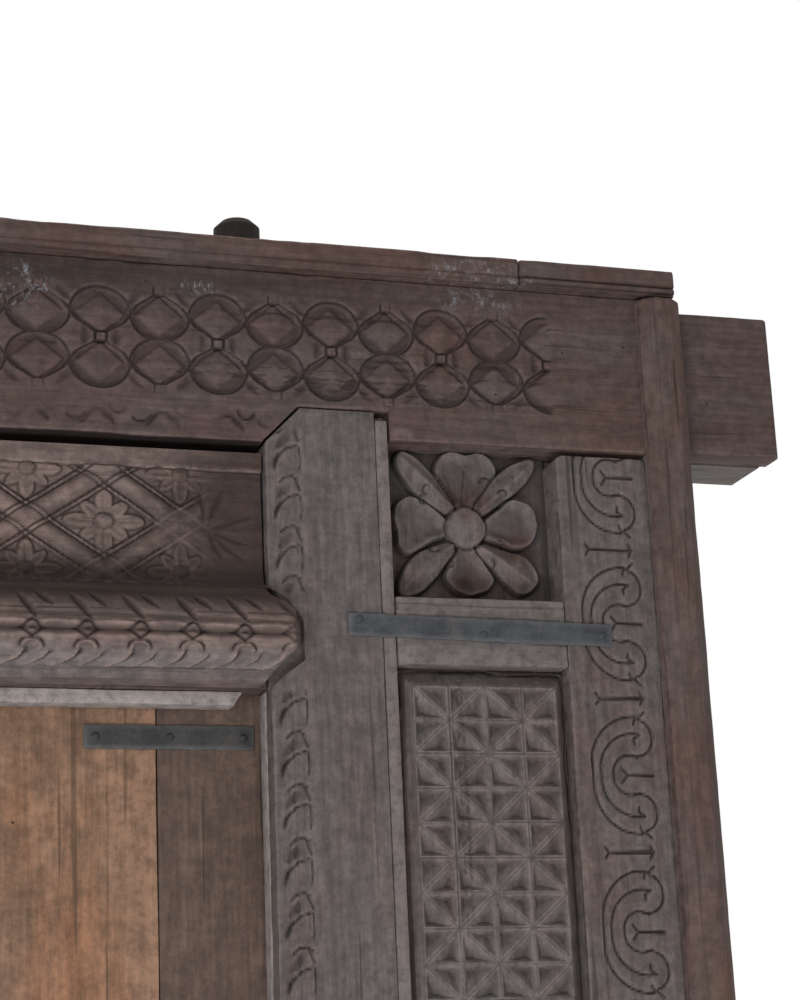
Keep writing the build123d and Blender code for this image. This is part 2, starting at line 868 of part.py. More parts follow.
with BuildPart() as rosette_panel:
    add(panel_board_part(rosette_panel_z, lintel_z, rosette_depth, rosette_board))
    add(corner_petals())
    with BuildSketch(front_plane(rosette_depth)):
        for outline, middle in side_petals(1):
            with BuildLine():
                Polyline(*outline, close=True)
            make_face()
    extrude(amount=side_petal_rise)
    add([chip(outline, middle, rosette_depth - side_petal_rise, petal_cup_depth)
         for outline, middle in side_petals(side_petal_cup)], mode=Mode.SUBTRACT)
    with BuildSketch(front_plane(rosette_depth)):
        with Locations((bay_x, rosette_z)):
            Circle(rosette_boss)
    extrude(amount=rosette_boss_rise)
    chamfer(rosette_panel.edges().filter_by(GeomType.CIRCLE).group_by(Axis.Y)[0], rosette_boss_edge)
keep_pair("rosette_panel", rosette_panel.part)


# Edge stile, in the rebate of the outer post, with the main line of its scroll
stile_top = lintel_z - stile_head_gap


def scroll_lines():
    """Main groove of each period of the scroll, open to the right; the top one is cut short."""
    outlines = []
    first = stile_top - scroll_axis
    for i in range(int((first - sill_height) / scroll_period) + 1):
        start = 180 - scroll_axis if i == 0 else scroll_open
        rings = [chopped_arc(0, 0, 1 - shrink, start, 360 - scroll_open, scroll_chops)
                 for shrink in (0, scroll_width / scroll_reach)]
        outlines.append([(stile_out - scroll_inset + scroll_reach * x,
                          first - i * scroll_period + scroll_rise * z)
                         for x, z in rings[0] + rings[1][::-1]])
    return outlines


with BuildPart() as edge_stile:
    add(timber(bay_out, stile_out, sill_height, stile_top, 0, front_layer))
    fillet(edge_stile.edges().filter_by(Axis.Y).group_by(Axis.Z)[-1], stile_corner)
    add(panel_tongues(seat_clearance), mode=Mode.SUBTRACT)
    add(rail_tenons(seat_clearance), mode=Mode.SUBTRACT)
    add(frame_shanks, mode=Mode.SUBTRACT)
    add(hollows(scroll_lines(), 0, scroll_depth), mode=Mode.SUBTRACT)
keep_pair("edge_stile", edge_stile.part)

with BuildPart() as outer_post:
    add(timber(stile_out, batten_out, sill_height, lintel_z, 0, front_layer))
    add(timber(bay_out, batten_out, sill_height, rear_lintel_z, front_layer, frame_depth))
    add(panel_tongues(seat_clearance), mode=Mode.SUBTRACT)
keep_pair("outer_post", outer_post.part)

# Batten: two facets meeting on a narrow flat
batten_x = (stile_out + batten_out) / 2
with BuildPart() as edge_batten:
    with BuildSketch(Plane.XY.offset(sill_height)):
        with BuildLine():
            Polyline(
                (stile_out, -face_out),
                (stile_out, -face_out - batten_proud / 2),
                (batten_x - batten_flat, -face_out - batten_proud),
                (batten_x + batten_flat, -face_out - batten_proud),
                (batten_out, -face_out - batten_proud / 2),
                (batten_out, -face_out),
                close=True,
            )
        make_face()
    extrude(amount=lintel_top - batten_head_gap - sill_height)
keep_pair("edge_batten", edge_batten.part)


# Leaf: a hinge stile that turns on its own round pintles, boards and rear ledges
ledges_z = {
    "lower": leaf_z + ledge_height,
    "middle": (leaf_z + leaf_top - ledge_height) / 2,
    "upper": leaf_top - 2 * ledge_height,
}


def ledge_tenons(clearance):
    """Tenons of the rear ledges, which the hinge stile takes in mortises."""
    middle = board_back + ledge_thickness / 2
    with BuildPart() as tenons:
        for z_low in ledges_z.values():
            centre = z_low + ledge_height / 2
            half = ledge_tenon_height / 2 + clearance
            add(timber(stile_edge_x - ledge_end_gap, stile_edge_x + ledge_tenon + clearance,
                       centre - half, centre + half, middle - ledge_tenon_thickness / 2 - clearance,
                       middle + ledge_tenon_thickness / 2 + clearance))
    return tenons.part


with BuildPart() as hinge_stile:
    with BuildSketch(Plane.XY.offset(leaf_z)):
        with Locations(((stile_edge_x + hinge_x) / 2, hinge_y)):
            Rectangle(hinge_stile_width, 2 * heel_radius)
        with Locations((hinge_x, hinge_y)):
            Circle(heel_radius)
    extrude(amount=leaf_top - leaf_z)
    add(ledge_tenons(seat_clearance), mode=Mode.SUBTRACT)
    add(leaf_shanks, mode=Mode.SUBTRACT)
    with BuildSketch(Plane.XY.offset(leaf_top)):
        with Locations((hinge_x, hinge_y)):
            Circle(pintle_radius)
    extrude(amount=cornice_top + pintle_top_height - leaf_top)
    chamfer(hinge_stile.edges().group_by(Axis.Z)[-1], pintle_round)
    with BuildSketch(Plane.XY.offset(sill_height - socket_depth + seat_clearance)):
        with Locations((hinge_x, hinge_y)):
            Circle(pintle_radius)
    extrude(amount=socket_depth - seat_clearance + leaf_gap)
keep_pair("hinge_stile", hinge_stile.part)

board_width = (stile_edge_x - meeting_gap / 2) / 2
board_joint_x = meeting_gap / 2 + board_width
keep_pair("meeting_board", timber(meeting_gap / 2, board_joint_x, leaf_z, leaf_top,
                                  leaf_front, board_back))
with BuildPart() as hinge_board:
    add(timber(board_joint_x, stile_edge_x, leaf_z, leaf_top, leaf_front, board_back))
    add(leaf_shanks, mode=Mode.SUBTRACT)
keep_pair("hinge_board", hinge_board.part)

for name, z_low in ledges_z.items():
    with BuildPart() as ledge:
        add(timber(meeting_gap / 2 + ledge_end_gap, stile_edge_x, z_low, z_low + ledge_height,
                   board_back, board_back + ledge_thickness))
        add(ledge_tenons(0).intersect(
            timber(0, hinge_x, z_low, z_low + ledge_height, board_back, board_back + ledge_thickness)))
    keep_pair(name + "_ledge", ledge.part)


# Frame strap: ties the jamb, the upper rail and the edge stile across the bay
with BuildPart() as frame_strap:
    with BuildSketch(front_plane(0)):
        with Locations(Location((strap_x, strap_z), -frame_strap_tilt)):
            Rectangle(frame_strap_length, frame_strap_height)
    extrude(amount=strap_thickness)
    add(frame_shanks, mode=Mode.SUBTRACT)
keep_pair("frame_strap", frame_strap.part)
frame_nails = nails(frame_nail_places(), -strap_thickness)
keep("frame_strap_nails", Compound([frame_nails, mirror(frame_nails, about=Plane.YZ)]))

# Leaf straps: tie the hinge board to the hinge stile
for name, z_low in leaf_straps_z.items():
    with BuildPart() as leaf_strap:
        add(timber(leaf_strap_left, leaf_strap_right, z_low, z_low + leaf_strap_height,
                   leaf_front - strap_thickness, leaf_front))
        add(leaf_shanks, mode=Mode.SUBTRACT)
    keep_pair(name + "_leaf_strap", leaf_strap.part)
keep_pair("leaf_strap_nails", nails(leaf_nail_places(), leaf_front - strap_thickness))


for name, part in pieces.items():
    export_step(part, f"parts/{name}.step")
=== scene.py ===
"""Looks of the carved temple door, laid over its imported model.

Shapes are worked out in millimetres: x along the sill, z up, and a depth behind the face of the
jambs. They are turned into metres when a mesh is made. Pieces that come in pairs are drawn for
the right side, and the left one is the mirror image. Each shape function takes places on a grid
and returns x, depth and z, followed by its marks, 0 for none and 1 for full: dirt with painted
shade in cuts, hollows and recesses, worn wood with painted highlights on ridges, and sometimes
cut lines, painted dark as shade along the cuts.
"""
import math
from functools import reduce

import bmesh
import bpy
import numpy as np
from mathutils import Matrix, Vector, noise


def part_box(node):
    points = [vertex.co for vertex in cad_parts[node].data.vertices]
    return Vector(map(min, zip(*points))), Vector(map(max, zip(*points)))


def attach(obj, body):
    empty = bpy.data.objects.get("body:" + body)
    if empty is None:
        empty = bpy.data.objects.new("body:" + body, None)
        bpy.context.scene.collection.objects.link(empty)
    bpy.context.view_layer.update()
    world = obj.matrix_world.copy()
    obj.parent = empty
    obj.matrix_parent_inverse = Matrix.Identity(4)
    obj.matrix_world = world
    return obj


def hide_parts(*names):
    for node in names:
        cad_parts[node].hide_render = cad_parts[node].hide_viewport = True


bl_info = {
    "name": "Carved temple door",
    "version": (1, 0, 0),
    "blender": (4, 5, 0),
    "location": "View3D > Sidebar > Temple door",
    "description": "Dresses the packed temple door with its carving, aged wood and iron",
    "category": "Object",
}

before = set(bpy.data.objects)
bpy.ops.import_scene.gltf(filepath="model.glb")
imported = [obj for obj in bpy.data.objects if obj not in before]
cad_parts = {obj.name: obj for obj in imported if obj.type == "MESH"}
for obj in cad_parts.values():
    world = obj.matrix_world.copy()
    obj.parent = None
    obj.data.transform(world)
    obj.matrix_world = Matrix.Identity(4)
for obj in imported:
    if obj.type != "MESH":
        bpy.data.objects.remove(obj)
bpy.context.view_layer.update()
MM = 0.001
SIDES = (("right", 1), ("left", -1))


def low(node):
    """Lowest corner of a node in millimetres."""
    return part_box(node)[0] / MM


def high(node):
    """Highest corner of a node in millimetres."""
    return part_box(node)[1] / MM


# Places read from the frame
FACE_Y = low("jamb_right").y
JAMB_IN = low("jamb_right").x
JAMB_OUT = high("jamb_right").x
JAMB_TOP = high("jamb_fillet_right").z + 9
FILLET_X = low("jamb_fillet_right").x
BAY_OUT = low("edge_stile_right").x
BAY_X = (JAMB_OUT + BAY_OUT) / 2
STILE_OUT = high("edge_stile_right").x
STILE_TOP = high("edge_stile_right").z
BATTEN_OUT = high("edge_batten_right").x
HORN_END = high("lintel_beam").x
SILL_TOP = high("sill_beam").z
LINTEL_LIP = low("lintel_beam").z
LINTEL_TOP = high("lintel_beam").z
LINTEL_Z = high("rosette_panel_right").z
ROSETTE_Z = low("rosette_panel_right").z
ROLL_TOP = high("roll_moulding").z
ROLL_END = high("roll_moulding").x
FRIEZE_Z = low("inner_lintel").z
FRIEZE_TOP = high("inner_lintel").z
LAYER_BACK = high("lintel_beam").y - FACE_Y
FRAME_BACK = high("rear_lintel").y - FACE_Y
REAR_Z = low("rear_lintel").z
REAR_JAMB_X = JAMB_IN + 32

# Gap left at each side of a rail or board, and half the thickness of the tongue that closes it
SEAM = 0.4
TONGUE = 6

# Back of the frame's straps, just before the carved face, and how all straps are hammered
STRAP_BACK = -0.05
FORGED = {"bevel": 0.9, "wobble": 1.3, "step": 8, "lump": 11}

# Tilt of the frame's straps in degrees, and the camera as found from the photograph's vanishing
# points: the directions to its right and up, and its place before the carved face and over the floor
STRAP_TILT = 1.0
CAMERA_RIGHT = (0.9529, -0.3003, -0.0430)
CAMERA_UP = (-0.0440, -0.2770, 0.9599)
CAMERA_BEFORE = 2348
CAMERA_HEIGHT = 1380
WHITE = (1, 1, 1, 1)
WARM_WHITE = (1.0, 0.985, 0.97, 1)
FLOOR_GREY = (0.82, 0.81, 0.80, 1)


# Relief fields: each takes arrays of places and returns arrays
def unit(value):
    """Value held between 0 and 1."""
    return np.clip(value, 0, 1)


def smooth(value, start, end):
    """Smooth step from 0 at start to 1 at end."""
    t = unit((value - start) / (end - start))
    return t * t * (3 - 2 * t)


def fade(distance, reach):
    """1 at no distance, falling evenly to 0 at a reach."""
    return unit(1 - distance / reach)


def bell(distance, width):
    """1 at no distance, falling off to both sides in a bell curve."""
    return np.exp(-(distance / width) ** 2)


def round_top(share):
    """Height of a round top, 1 in its middle and 0 where share is 1."""
    return np.sqrt(unit(1 - share ** 2))


def least(*fields):
    """Lowest of several fields at each place."""
    return reduce(np.minimum, fields)


def most(*fields):
    """Highest of several fields at each place."""
    return reduce(np.maximum, fields)


def grain_noise(x, z, seed):
    """Smooth noise from 0 to 1 over a plane, with a knot at each whole number."""
    cell_x, cell_z = np.floor(x), np.floor(z)
    tx, tz = smooth(x - cell_x, 0, 1), smooth(z - cell_z, 0, 1)

    def corner(i, j):
        value = np.sin((cell_x + i) * 127.1 + (cell_z + j) * 311.7 + seed * 74.7) * 43758.5453
        return value - np.floor(value)

    under = corner(0, 0) * (1 - tx) + corner(1, 0) * tx
    over = corner(0, 1) * (1 - tx) + corner(1, 1) * tx
    return under * (1 - tz) + over * tz


def rough(x, z, size, seed):
    """Noise from -1 to 1, of lumps of a size in mm with finer ones on them."""
    coarse = grain_noise(x / size, z / size, seed)
    fine = grain_noise(x / size * 2.7, z / size * 2.7, seed + 9)
    return (coarse * 2 + fine) / 1.5 - 1


def vee(distance, width, depth):
    """Depth of a V groove at a distance from its line."""
    return depth * unit(1 - 2 * np.abs(distance) / width)


def cut_line(distance):
    """Mark of a knife-cut line, painted dark as shade along the cut, from 1 on the line to 0 at 4.8 mm from
    it.
    """
    return fade(np.abs(distance), 4.8)


def fold(value, pitch):
    """Distance along a row from its nearest repeat, with its sign."""
    return value - pitch * np.rint(value / pitch)


def line_distance(x, z, *points):
    """Distance to a line through points."""
    nearest = np.full(np.shape(x), 1e6)
    for (ax, az), (bx, bz) in zip(points, points[1:]):
        along = unit(((x - ax) * (bx - ax) + (z - az) * (bz - az)) / ((bx - ax) ** 2 + (bz - az) ** 2))
        nearest = np.minimum(nearest, np.hypot(x - ax - along * (bx - ax), z - az - along * (bz - az)))
    return nearest


def arc_distance(x, z, centre, radius, start, end):
    """Distance to an arc that runs counter-clockwise between two angles in degrees."""
    px, pz = x - centre[0], z - centre[1]
    middle, half = math.radians((start + end) / 2), math.radians((end - start) / 2)
    angle = np.mod(np.arctan2(pz, px) - middle + math.pi, 2 * math.pi) - math.pi
    angle = np.clip(angle, -half, half) + middle
    return np.hypot(px - radius * np.cos(angle), pz - radius * np.sin(angle))


def lens(x, z, centre, angle, length, width):
    """1 along the middle of a pointed hollow, falling to 0 at its edge."""
    cosine, sine = math.cos(math.radians(angle)), math.sin(math.radians(angle))
    px, pz = x - centre[0], z - centre[1]
    along = (px * cosine + pz * sine) * 2 / length
    across = (pz * cosine - px * sine) * 2 / width
    room = np.clip(1 - along * along, 1e-3, 1)
    return np.where(np.abs(along) < 1, fade(np.abs(across), room), 0) * np.sqrt(room)


def edge_distance(x, z, lows, highs):
    """Distance inside the nearest side of a rectangle between two corners."""
    return least(x - lows[0], highs[0] - x, z - lows[1], highs[1] - z)


def worn_edges(x, z, lows, highs, size, seed):
    """Depth lost along the arrises of a face, more where the noise is high, and the mark of wear."""
    edge = edge_distance(x, z, lows, highs)
    reach = size * (0.7 + 1.6 * unit(rough(x, z, 37, seed)) ** 2)
    return reach * fade(edge, reach) ** 2, fade(edge, reach + 1)


def spaced(start, end, step):
    """Evenly spaced places from start to end, about one step apart."""
    return np.linspace(start, end, max(2, int(round(abs(end - start) / step)) + 1))


def rows(start, *runs):
    """Places of several runs in a row, each run as (end, step)."""
    places = [[start]]
    for end, step in runs:
        places.append(spaced(start, end, step)[1:])
        start = end
    return np.concatenate(places)


def path_runs(path):
    """Length along a path of (depth, z) points up to each of them."""
    return np.concatenate([[0], np.cumsum(np.hypot(*np.diff(path, axis=0).T))])


def mirrored(shape, side):
    """Shape function of the right side used on either side."""
    def placed(u, v):
        x, *rest = shape(side * u, v)
        return side * x, *rest
    return placed


def both_ways(us, side):
    """Grid places of the right side, in rising order on either side."""
    return us if side > 0 else -us[::-1]


# Meshes
# Marks on each vertex: dirt with painted shade, worn wood with painted highlights, and cut lines painted dark
# as shade
MARKS = ("grime", "wear", "line")


def finish_mesh(name, bm, material, sharp=40):
    """Object from a bmesh, smooth but for its sharp edges."""
    mesh = bpy.data.meshes.new(name)
    bm.to_mesh(mesh)
    bm.free()
    mesh.polygons.foreach_set("use_smooth", np.ones(len(mesh.polygons), bool))
    mesh.set_sharp_from_angle(angle=math.radians(sharp))
    mesh.materials.append(material)
    piece = bpy.data.objects.new(name, mesh)
    bpy.context.collection.objects.link(piece)
    return piece


def join_into(bm, part):
    """Add a finished bmesh to another, with its marks of dirt and painted shade, worn wood and painted
    highlights, and cut lines painted as shade.
    """
    for mark in MARKS:
        for mesh in (bm, part):
            if mark not in mesh.verts.layers.float:
                mesh.verts.layers.float.new(mark)
    holder = bpy.data.meshes.new("holder")
    part.to_mesh(holder)
    part.free()
    bm.from_mesh(holder)
    bpy.data.meshes.remove(holder)


def relief(bm, us, vs, shape, back):
    """Closed slab: a fine grid on its face, placed by shape, and a flat back at one depth."""
    part = bmesh.new()
    bmesh.ops.create_grid(part, x_segments=len(us) - 1, y_segments=len(vs) - 1, size=0.5)
    rim = [edge for edge in part.edges if edge.is_boundary]
    made = bmesh.ops.extrude_edge_only(part, edges=rim)["geom"]
    skirt = [item for item in made if isinstance(item, bmesh.types.BMVert)]
    bmesh.ops.translate(part, verts=skirt, vec=(0, 0, -1))
    bmesh.ops.holes_fill(part, edges=[edge for edge in part.edges if edge.is_boundary], sides=0)
    bmesh.ops.recalc_face_normals(part, faces=part.faces)
    places = np.array([vert.co for vert in part.verts])
    column = np.rint((places[:, 0] + 0.5) * (len(us) - 1)).astype(int)
    row = np.rint((places[:, 1] + 0.5) * (len(vs) - 1)).astype(int)
    x, depth, z, *marks = shape(us[column], vs[row])
    depth = np.where(places[:, 2] < -0.5, back, depth)
    for vert, px, py, pz in zip(part.verts, x * MM, (depth + FACE_Y) * MM, z * MM):
        vert.co = (px, py, pz)
    for name, values in zip(MARKS, marks):
        layer = part.verts.layers.float.new(name)
        for vert, value in zip(part.verts, values):
            vert[layer] = value
    join_into(bm, part)


def hewn(bm, lows, highs, bevel=2.0, wobble=0.8, step=45, seed=1, lump=60.0, tilt=0.0):
    """Squared timber between two corners as (x, depth, z), its faces uneven and its arrises worn."""
    part = bmesh.new()
    bmesh.ops.create_cube(part, size=1)
    size = [h - l for l, h in zip(lows, highs)]
    middle = Vector([(l + h) / 2 for l, h in zip(lows, highs)])
    bevel = min(bevel, min(size) / 4)
    bmesh.ops.scale(part, verts=part.verts, vec=size)
    bmesh.ops.bevel(part, geom=part.edges[:], offset=bevel, offset_type="OFFSET", segments=2,
                    profile=0.5, affect="EDGES", material=-1)
    for axis in range(3):
        for cut in spaced(-size[axis] / 2, size[axis] / 2, step)[1:-1]:
            place = [cut if i == axis else 0 for i in range(3)]
            normal = [1 if i == axis else 0 for i in range(3)]
            bmesh.ops.bisect_plane(part, geom=part.verts[:] + part.edges[:] + part.faces[:],
                                   plane_co=place, plane_no=normal)
    wear = part.verts.layers.float.new("wear")
    part.verts.layers.float.new("grime")
    for vert in part.verts:
        inside = [size[i] / 2 - abs(vert.co[i]) for i in range(3)]
        on_edge = sorted(inside)[1] < bevel * 1.1
        spot = vert.co + middle
        amount = wobble * (1.6 if on_edge else 1.0)
        for i in range(3):
            if inside[i] < bevel * 1.1:
                pull = amount * (0.5 + 0.5 * noise.noise(spot / lump + Vector((seed, i * 3, 7))))
                vert.co[i] -= math.copysign(min(pull, size[i] / 6), vert.co[i])
        vert[wear] = 0.7 if on_edge else 0.0
        vert.co = (vert.co + middle + Vector((0, FACE_Y, 0))) * MM
    centre = (middle + Vector((0, FACE_Y, 0))) * MM
    turn = Matrix.Rotation(math.radians(tilt), 3, "Y")
    bmesh.ops.rotate(part, cent=centre, matrix=turn, verts=part.verts)
    join_into(bm, part)


def side_timber(bm, side, xs, depths, zs, **shaping):
    """Squared timber on one side of the door, from pairs of places drawn for the right side."""
    x_low, x_high = sorted(side * x for x in xs)
    hewn(bm, (x_low, depths[0], zs[0]), (x_high, depths[1], zs[1]), **shaping)


def corners(node, inset_x=0, inset_z=0):
    """Both corners of a node as (x, depth, z), drawn in from its ends."""
    lows, highs = low(node), high(node)
    return ((lows.x + inset_x, lows.y - FACE_Y, lows.z + inset_z),
            (highs.x - inset_x, highs.y - FACE_Y, highs.z - inset_z))


def place_piece(piece, body, slot, *nodes):
    """Let a piece move with its body and stand for its nodes; its slot is not used."""
    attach(piece, body)
    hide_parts(*nodes)


def add_piece(name, bm, material, node, body="frame", slot="carved_wood", sharp=40):
    """Finish a piece of the door that stands for a node."""
    place_piece(finish_mesh(name, bm, material, sharp), body, slot, node)


def add_relief(name, material, node, us, vs, shape, back, side=1, sharp=40):
    """Piece of the frame that is one slab with relief, drawn for the right side."""
    bm = bmesh.new()
    relief(bm, both_ways(us, side), vs, mirrored(shape, side), back)
    add_piece(name, bm, material, node, sharp=sharp)


def add_hewn(name, material, node, body="frame", slot="carved_wood", **shaping):
    """Piece that is one lath or strap with the size of its node."""
    bm = bmesh.new()
    hewn(bm, *corners(node), **shaping)
    add_piece(name, bm, material, node, body, slot)


# Lintel beam
BAND_COLUMNS = np.array([0, 142.3, 284.7, 427, 562, 697, 832, 967])
BAND_PITCH = 124.0
BAND_Z = LINTEL_Z + 105
ROW_RISE = 29.5
LOOP = 31.0
DIAMOND = (23, 22)
SMALL_DIAMOND = (17, 21)
BAND_END = 970
BAND_HALF = 64
STRIP_TOP = JAMB_TOP + 5
STRIP_SHARE = (STRIP_TOP - LINTEL_LIP) / (LINTEL_TOP - LINTEL_LIP)
NOTCH_GAP = 2.5
LIP_LINE = LINTEL_LIP + 45
LIP_LEAF_PITCH = 74


def loop_inside(a, b):
    """Distance inside a loop that is round above and closes in on a small boss below."""
    side = np.interp(b, [-24, -11, 0], [5.5, 24, LOOP])
    return np.where(b >= 0, LOOP - np.hypot(a, b), np.where(b > -24, (side - np.abs(a)) * 0.75, -9))


def circle_band(x, z, props):
    """Depth and marks of the interlaced loops with a cut diamond in each."""
    wander = 1.1 * rough(x, z, 45, 3)
    across = np.interp(np.abs(x) + wander, BAND_COLUMNS, np.arange(len(BAND_COLUMNS)) * BAND_PITCH)
    up = z - BAND_Z + 1.1 * rough(x, z, 45, 5)
    near = fold(across, BAND_PITCH)
    between = fold(across - BAND_PITCH / 2, BAND_PITCH)
    first = np.maximum(loop_inside(near, up - ROW_RISE), loop_inside(near, -up - ROW_RISE))
    second = np.maximum(loop_inside(between, ROW_RISE - up), loop_inside(between, up + ROW_RISE))
    square = np.maximum(np.abs(near), np.abs(up)) - 6
    end_square = np.maximum(np.abs(between), np.abs(np.abs(up) - 2 * ROW_RISE)) - 5.5
    line = least(np.abs(first), np.abs(second), np.abs(square), np.abs(end_square) + 0.6)
    inside = np.maximum(first, second)
    from_middle = np.abs(fold(across, BAND_PITCH / 2))
    diamond = 1 - from_middle / DIAMOND[0] - np.abs(np.abs(up) - ROW_RISE) / DIAMOND[1]
    hollow = smooth(inside, 1, 4) * smooth(-diamond, 0.0, 0.16)
    depth = (smooth(inside, 0.5, 3.5) * 3.8 + 3.0 * hollow
             - props.diamond_rise * unit(diamond) * (inside > 0))
    middle = np.abs(fold(across - BAND_PITCH / 4, BAND_PITCH / 2))
    small = 1 - middle / SMALL_DIAMOND[0] - np.abs(up) / SMALL_DIAMOND[1]
    outside = smooth(-inside, 1, 3)
    sides = lens(middle, up, (15, 0), 90, 40, 11) * outside
    leaf = lens(np.abs(between), np.abs(up), (27, 49), -48, 30, 12) * outside
    groove = vee(line, props.line_width, props.line_depth)
    depth += 3.6 * sides - 2.4 * unit(small) * outside
    depth += 3.6 * leaf
    depth += groove
    grime = unit(groove / props.line_depth * 0.7 + 0.45 * hollow + 0.7 * sides + 0.6 * leaf)
    wear = bell(line - props.line_width * 0.8, 1.0) * 0.45
    wear = np.maximum(wear, smooth(diamond, 0.75, 1) * (inside > 0) * 0.4)
    present = smooth(np.abs(x), BAND_END + 4, BAND_END - 4)
    present = present * smooth(np.abs(up), BAND_HALF + 2, BAND_HALF - 2)
    return depth * present, grime * present, wear * present, cut_line(line) * present


def lintel_shape(x, v):
    """Face of the lintel beam, from its notched lower edge at v = 0 to its top at v = 1."""
    across = np.abs(x)
    lower = np.interp(across, [0, JAMB_IN - NOTCH_GAP, JAMB_IN - NOTCH_GAP + 0.1, JAMB_IN + 40.8,
                               JAMB_OUT + NOTCH_GAP, JAMB_OUT + NOTCH_GAP + 0.1,
                               BATTEN_OUT, BATTEN_OUT + 0.1],
                      [LINTEL_LIP, LINTEL_LIP, LINTEL_LIP + 1.2, JAMB_TOP + NOTCH_GAP,
                       JAMB_TOP + NOTCH_GAP, LINTEL_Z, LINTEL_Z, LINTEL_Z + 9])
    upper = np.where(across > BATTEN_OUT, LINTEL_TOP - 8, LINTEL_TOP)
    lower = lower + 1.6 * unit(rough(x, 0 * x, 130, 13))
    z = np.where(v < STRIP_SHARE, lower + v / STRIP_SHARE * (STRIP_TOP - lower),
                 STRIP_TOP + (v - STRIP_SHARE) / (1 - STRIP_SHARE) * (upper - STRIP_TOP))
    horn = smooth(across, BATTEN_OUT - 2, BATTEN_OUT + 2)
    from_low, from_high = z - lower, upper - z
    depth, grime, wear, line = circle_band(x, z, bpy.context.scene.door_carving)
    depth += horn * 14 + 0.5 + 0.5 * rough(x, z, 90, 1) + 0.15 * rough(x, z * 4, 22, 2)
    over_opening = smooth(across, JAMB_IN + 20, JAMB_IN - 10)
    leaf_x = fold(x + 20, LIP_LEAF_PITCH)
    worn = smooth(grain_noise(x / 60, z / 40, 6), 0.1, 0.6) * over_opening * smooth(LIP_LINE - 3 - z, 0, 4)
    stroke = least(arc_distance(leaf_x, z, (0, LINTEL_LIP + 12), 17, 10, 170),
                   arc_distance(leaf_x, z, (-26, LINTEL_LIP + 32), 14, 200, 330),
                   arc_distance(leaf_x, z, (22, LINTEL_LIP + 36), 9, 180, 340))
    leaf = np.maximum(lens(leaf_x, z, (-14, LINTEL_LIP + 20), 50, 26, 10),
                      lens(leaf_x, z, (10, LINTEL_LIP + 22), -40, 24, 9))
    cut = np.maximum(vee(stroke, 6, 3.4), 3.4 * leaf) * worn
    depth += cut + 1.2 * smooth(LIP_LINE - z, 0, 3) * over_opening
    border = vee(z - LINTEL_TOP + 21, 2.6, 0.9) + vee(z - LIP_LINE, 2.6, 1.0) * over_opening
    border *= 1 - 0.6 * grain_noise(x / 50, z / 9, 12)
    depth += border * (1 - horn)
    reach = 2.2 + 5 * unit(rough(x, z, 60, 8) - 0.15)
    depth += reach * fade(np.minimum(from_low, from_high), reach) ** 2
    depth += 7 * fade(HORN_END - across, 7) ** 2
    wear = most(wear, 0.8 * fade(from_low, reach + 2),
                smooth(np.hypot((across - 778) / 16, (z - LINTEL_Z - 8) / 9), 1.1, 0.5))
    grime = unit(grime + cut / 3 + border * 0.6)
    # Painted shade on the lower edge and underside of the lintel over the opening
    grime = np.where(v <= 0, over_opening * 1.15, grime)
    line = np.maximum(line, 0.9 * cut_line(stroke) * worn)
    return x, depth, z, grime, wear * (v > 0), line * (v > 0)


# Inner lintel with its lattice
LATTICE_PITCH = 172.5
LATTICE_RISE = 57.0
LATTICE_Z = FRIEZE_Z + 185
LAST_NODE = 3 * LATTICE_PITCH
BAR_CROWN = 11.6
BAR_BEAD = 14.2
BAR_HALF = 15.5
FRIEZE_DEPTH = 14
BORDER_Z = FRIEZE_TOP - 21
COVE_Z = ROLL_TOP + 30
FLOWER_STRETCH = 1.18
FLOWER_BUTTON = 9
LONG_REACH = 39
SHORT_REACH = 31
FAN_LEAVES = ((100, 44), (68, 52), (20, 50), (-18, 46), (-38, 50), (-60, 34))


def small_flower(x, z):
    """Height, dirt with painted shade, and worn edges with painted highlights of an eight-petalled flower
    round the origin.
    """
    radius = np.hypot(x / FLOWER_STRETCH, z)
    angle = np.arctan2(z, x / FLOWER_STRETCH)
    long_petal = np.abs(fold(angle, math.pi / 2)) < math.pi / 8
    reach = np.where(long_petal, LONG_REACH, SHORT_REACH)
    along = radius / reach
    half = np.where(long_petal, 9.5, 8.0) * round_top((along - 0.6) / 0.4)
    across = np.abs(radius * np.sin(fold(angle, math.pi / 4)))
    inside = np.where(half > 0, half - across, -3)
    height = 5.5 * smooth(inside, -1.0, 3.0) * (0.6 + 0.4 * smooth(along, 0.2, 0.7))
    height -= vee(across, 4.5, 1.8) * smooth(inside, 0, 2) * smooth(along, 0.95, 0.7)
    button = 6.5 * round_top(radius / (FLOWER_BUTTON + 2))
    height = np.where(radius < FLOWER_BUTTON, button, height)
    edge = np.minimum(np.abs(inside), np.abs(radius - FLOWER_BUTTON))
    return height, 0.85 * bell(edge, 1.5) * (radius < reach + 2), 0.4 * bell(inside - 3, 1.5)


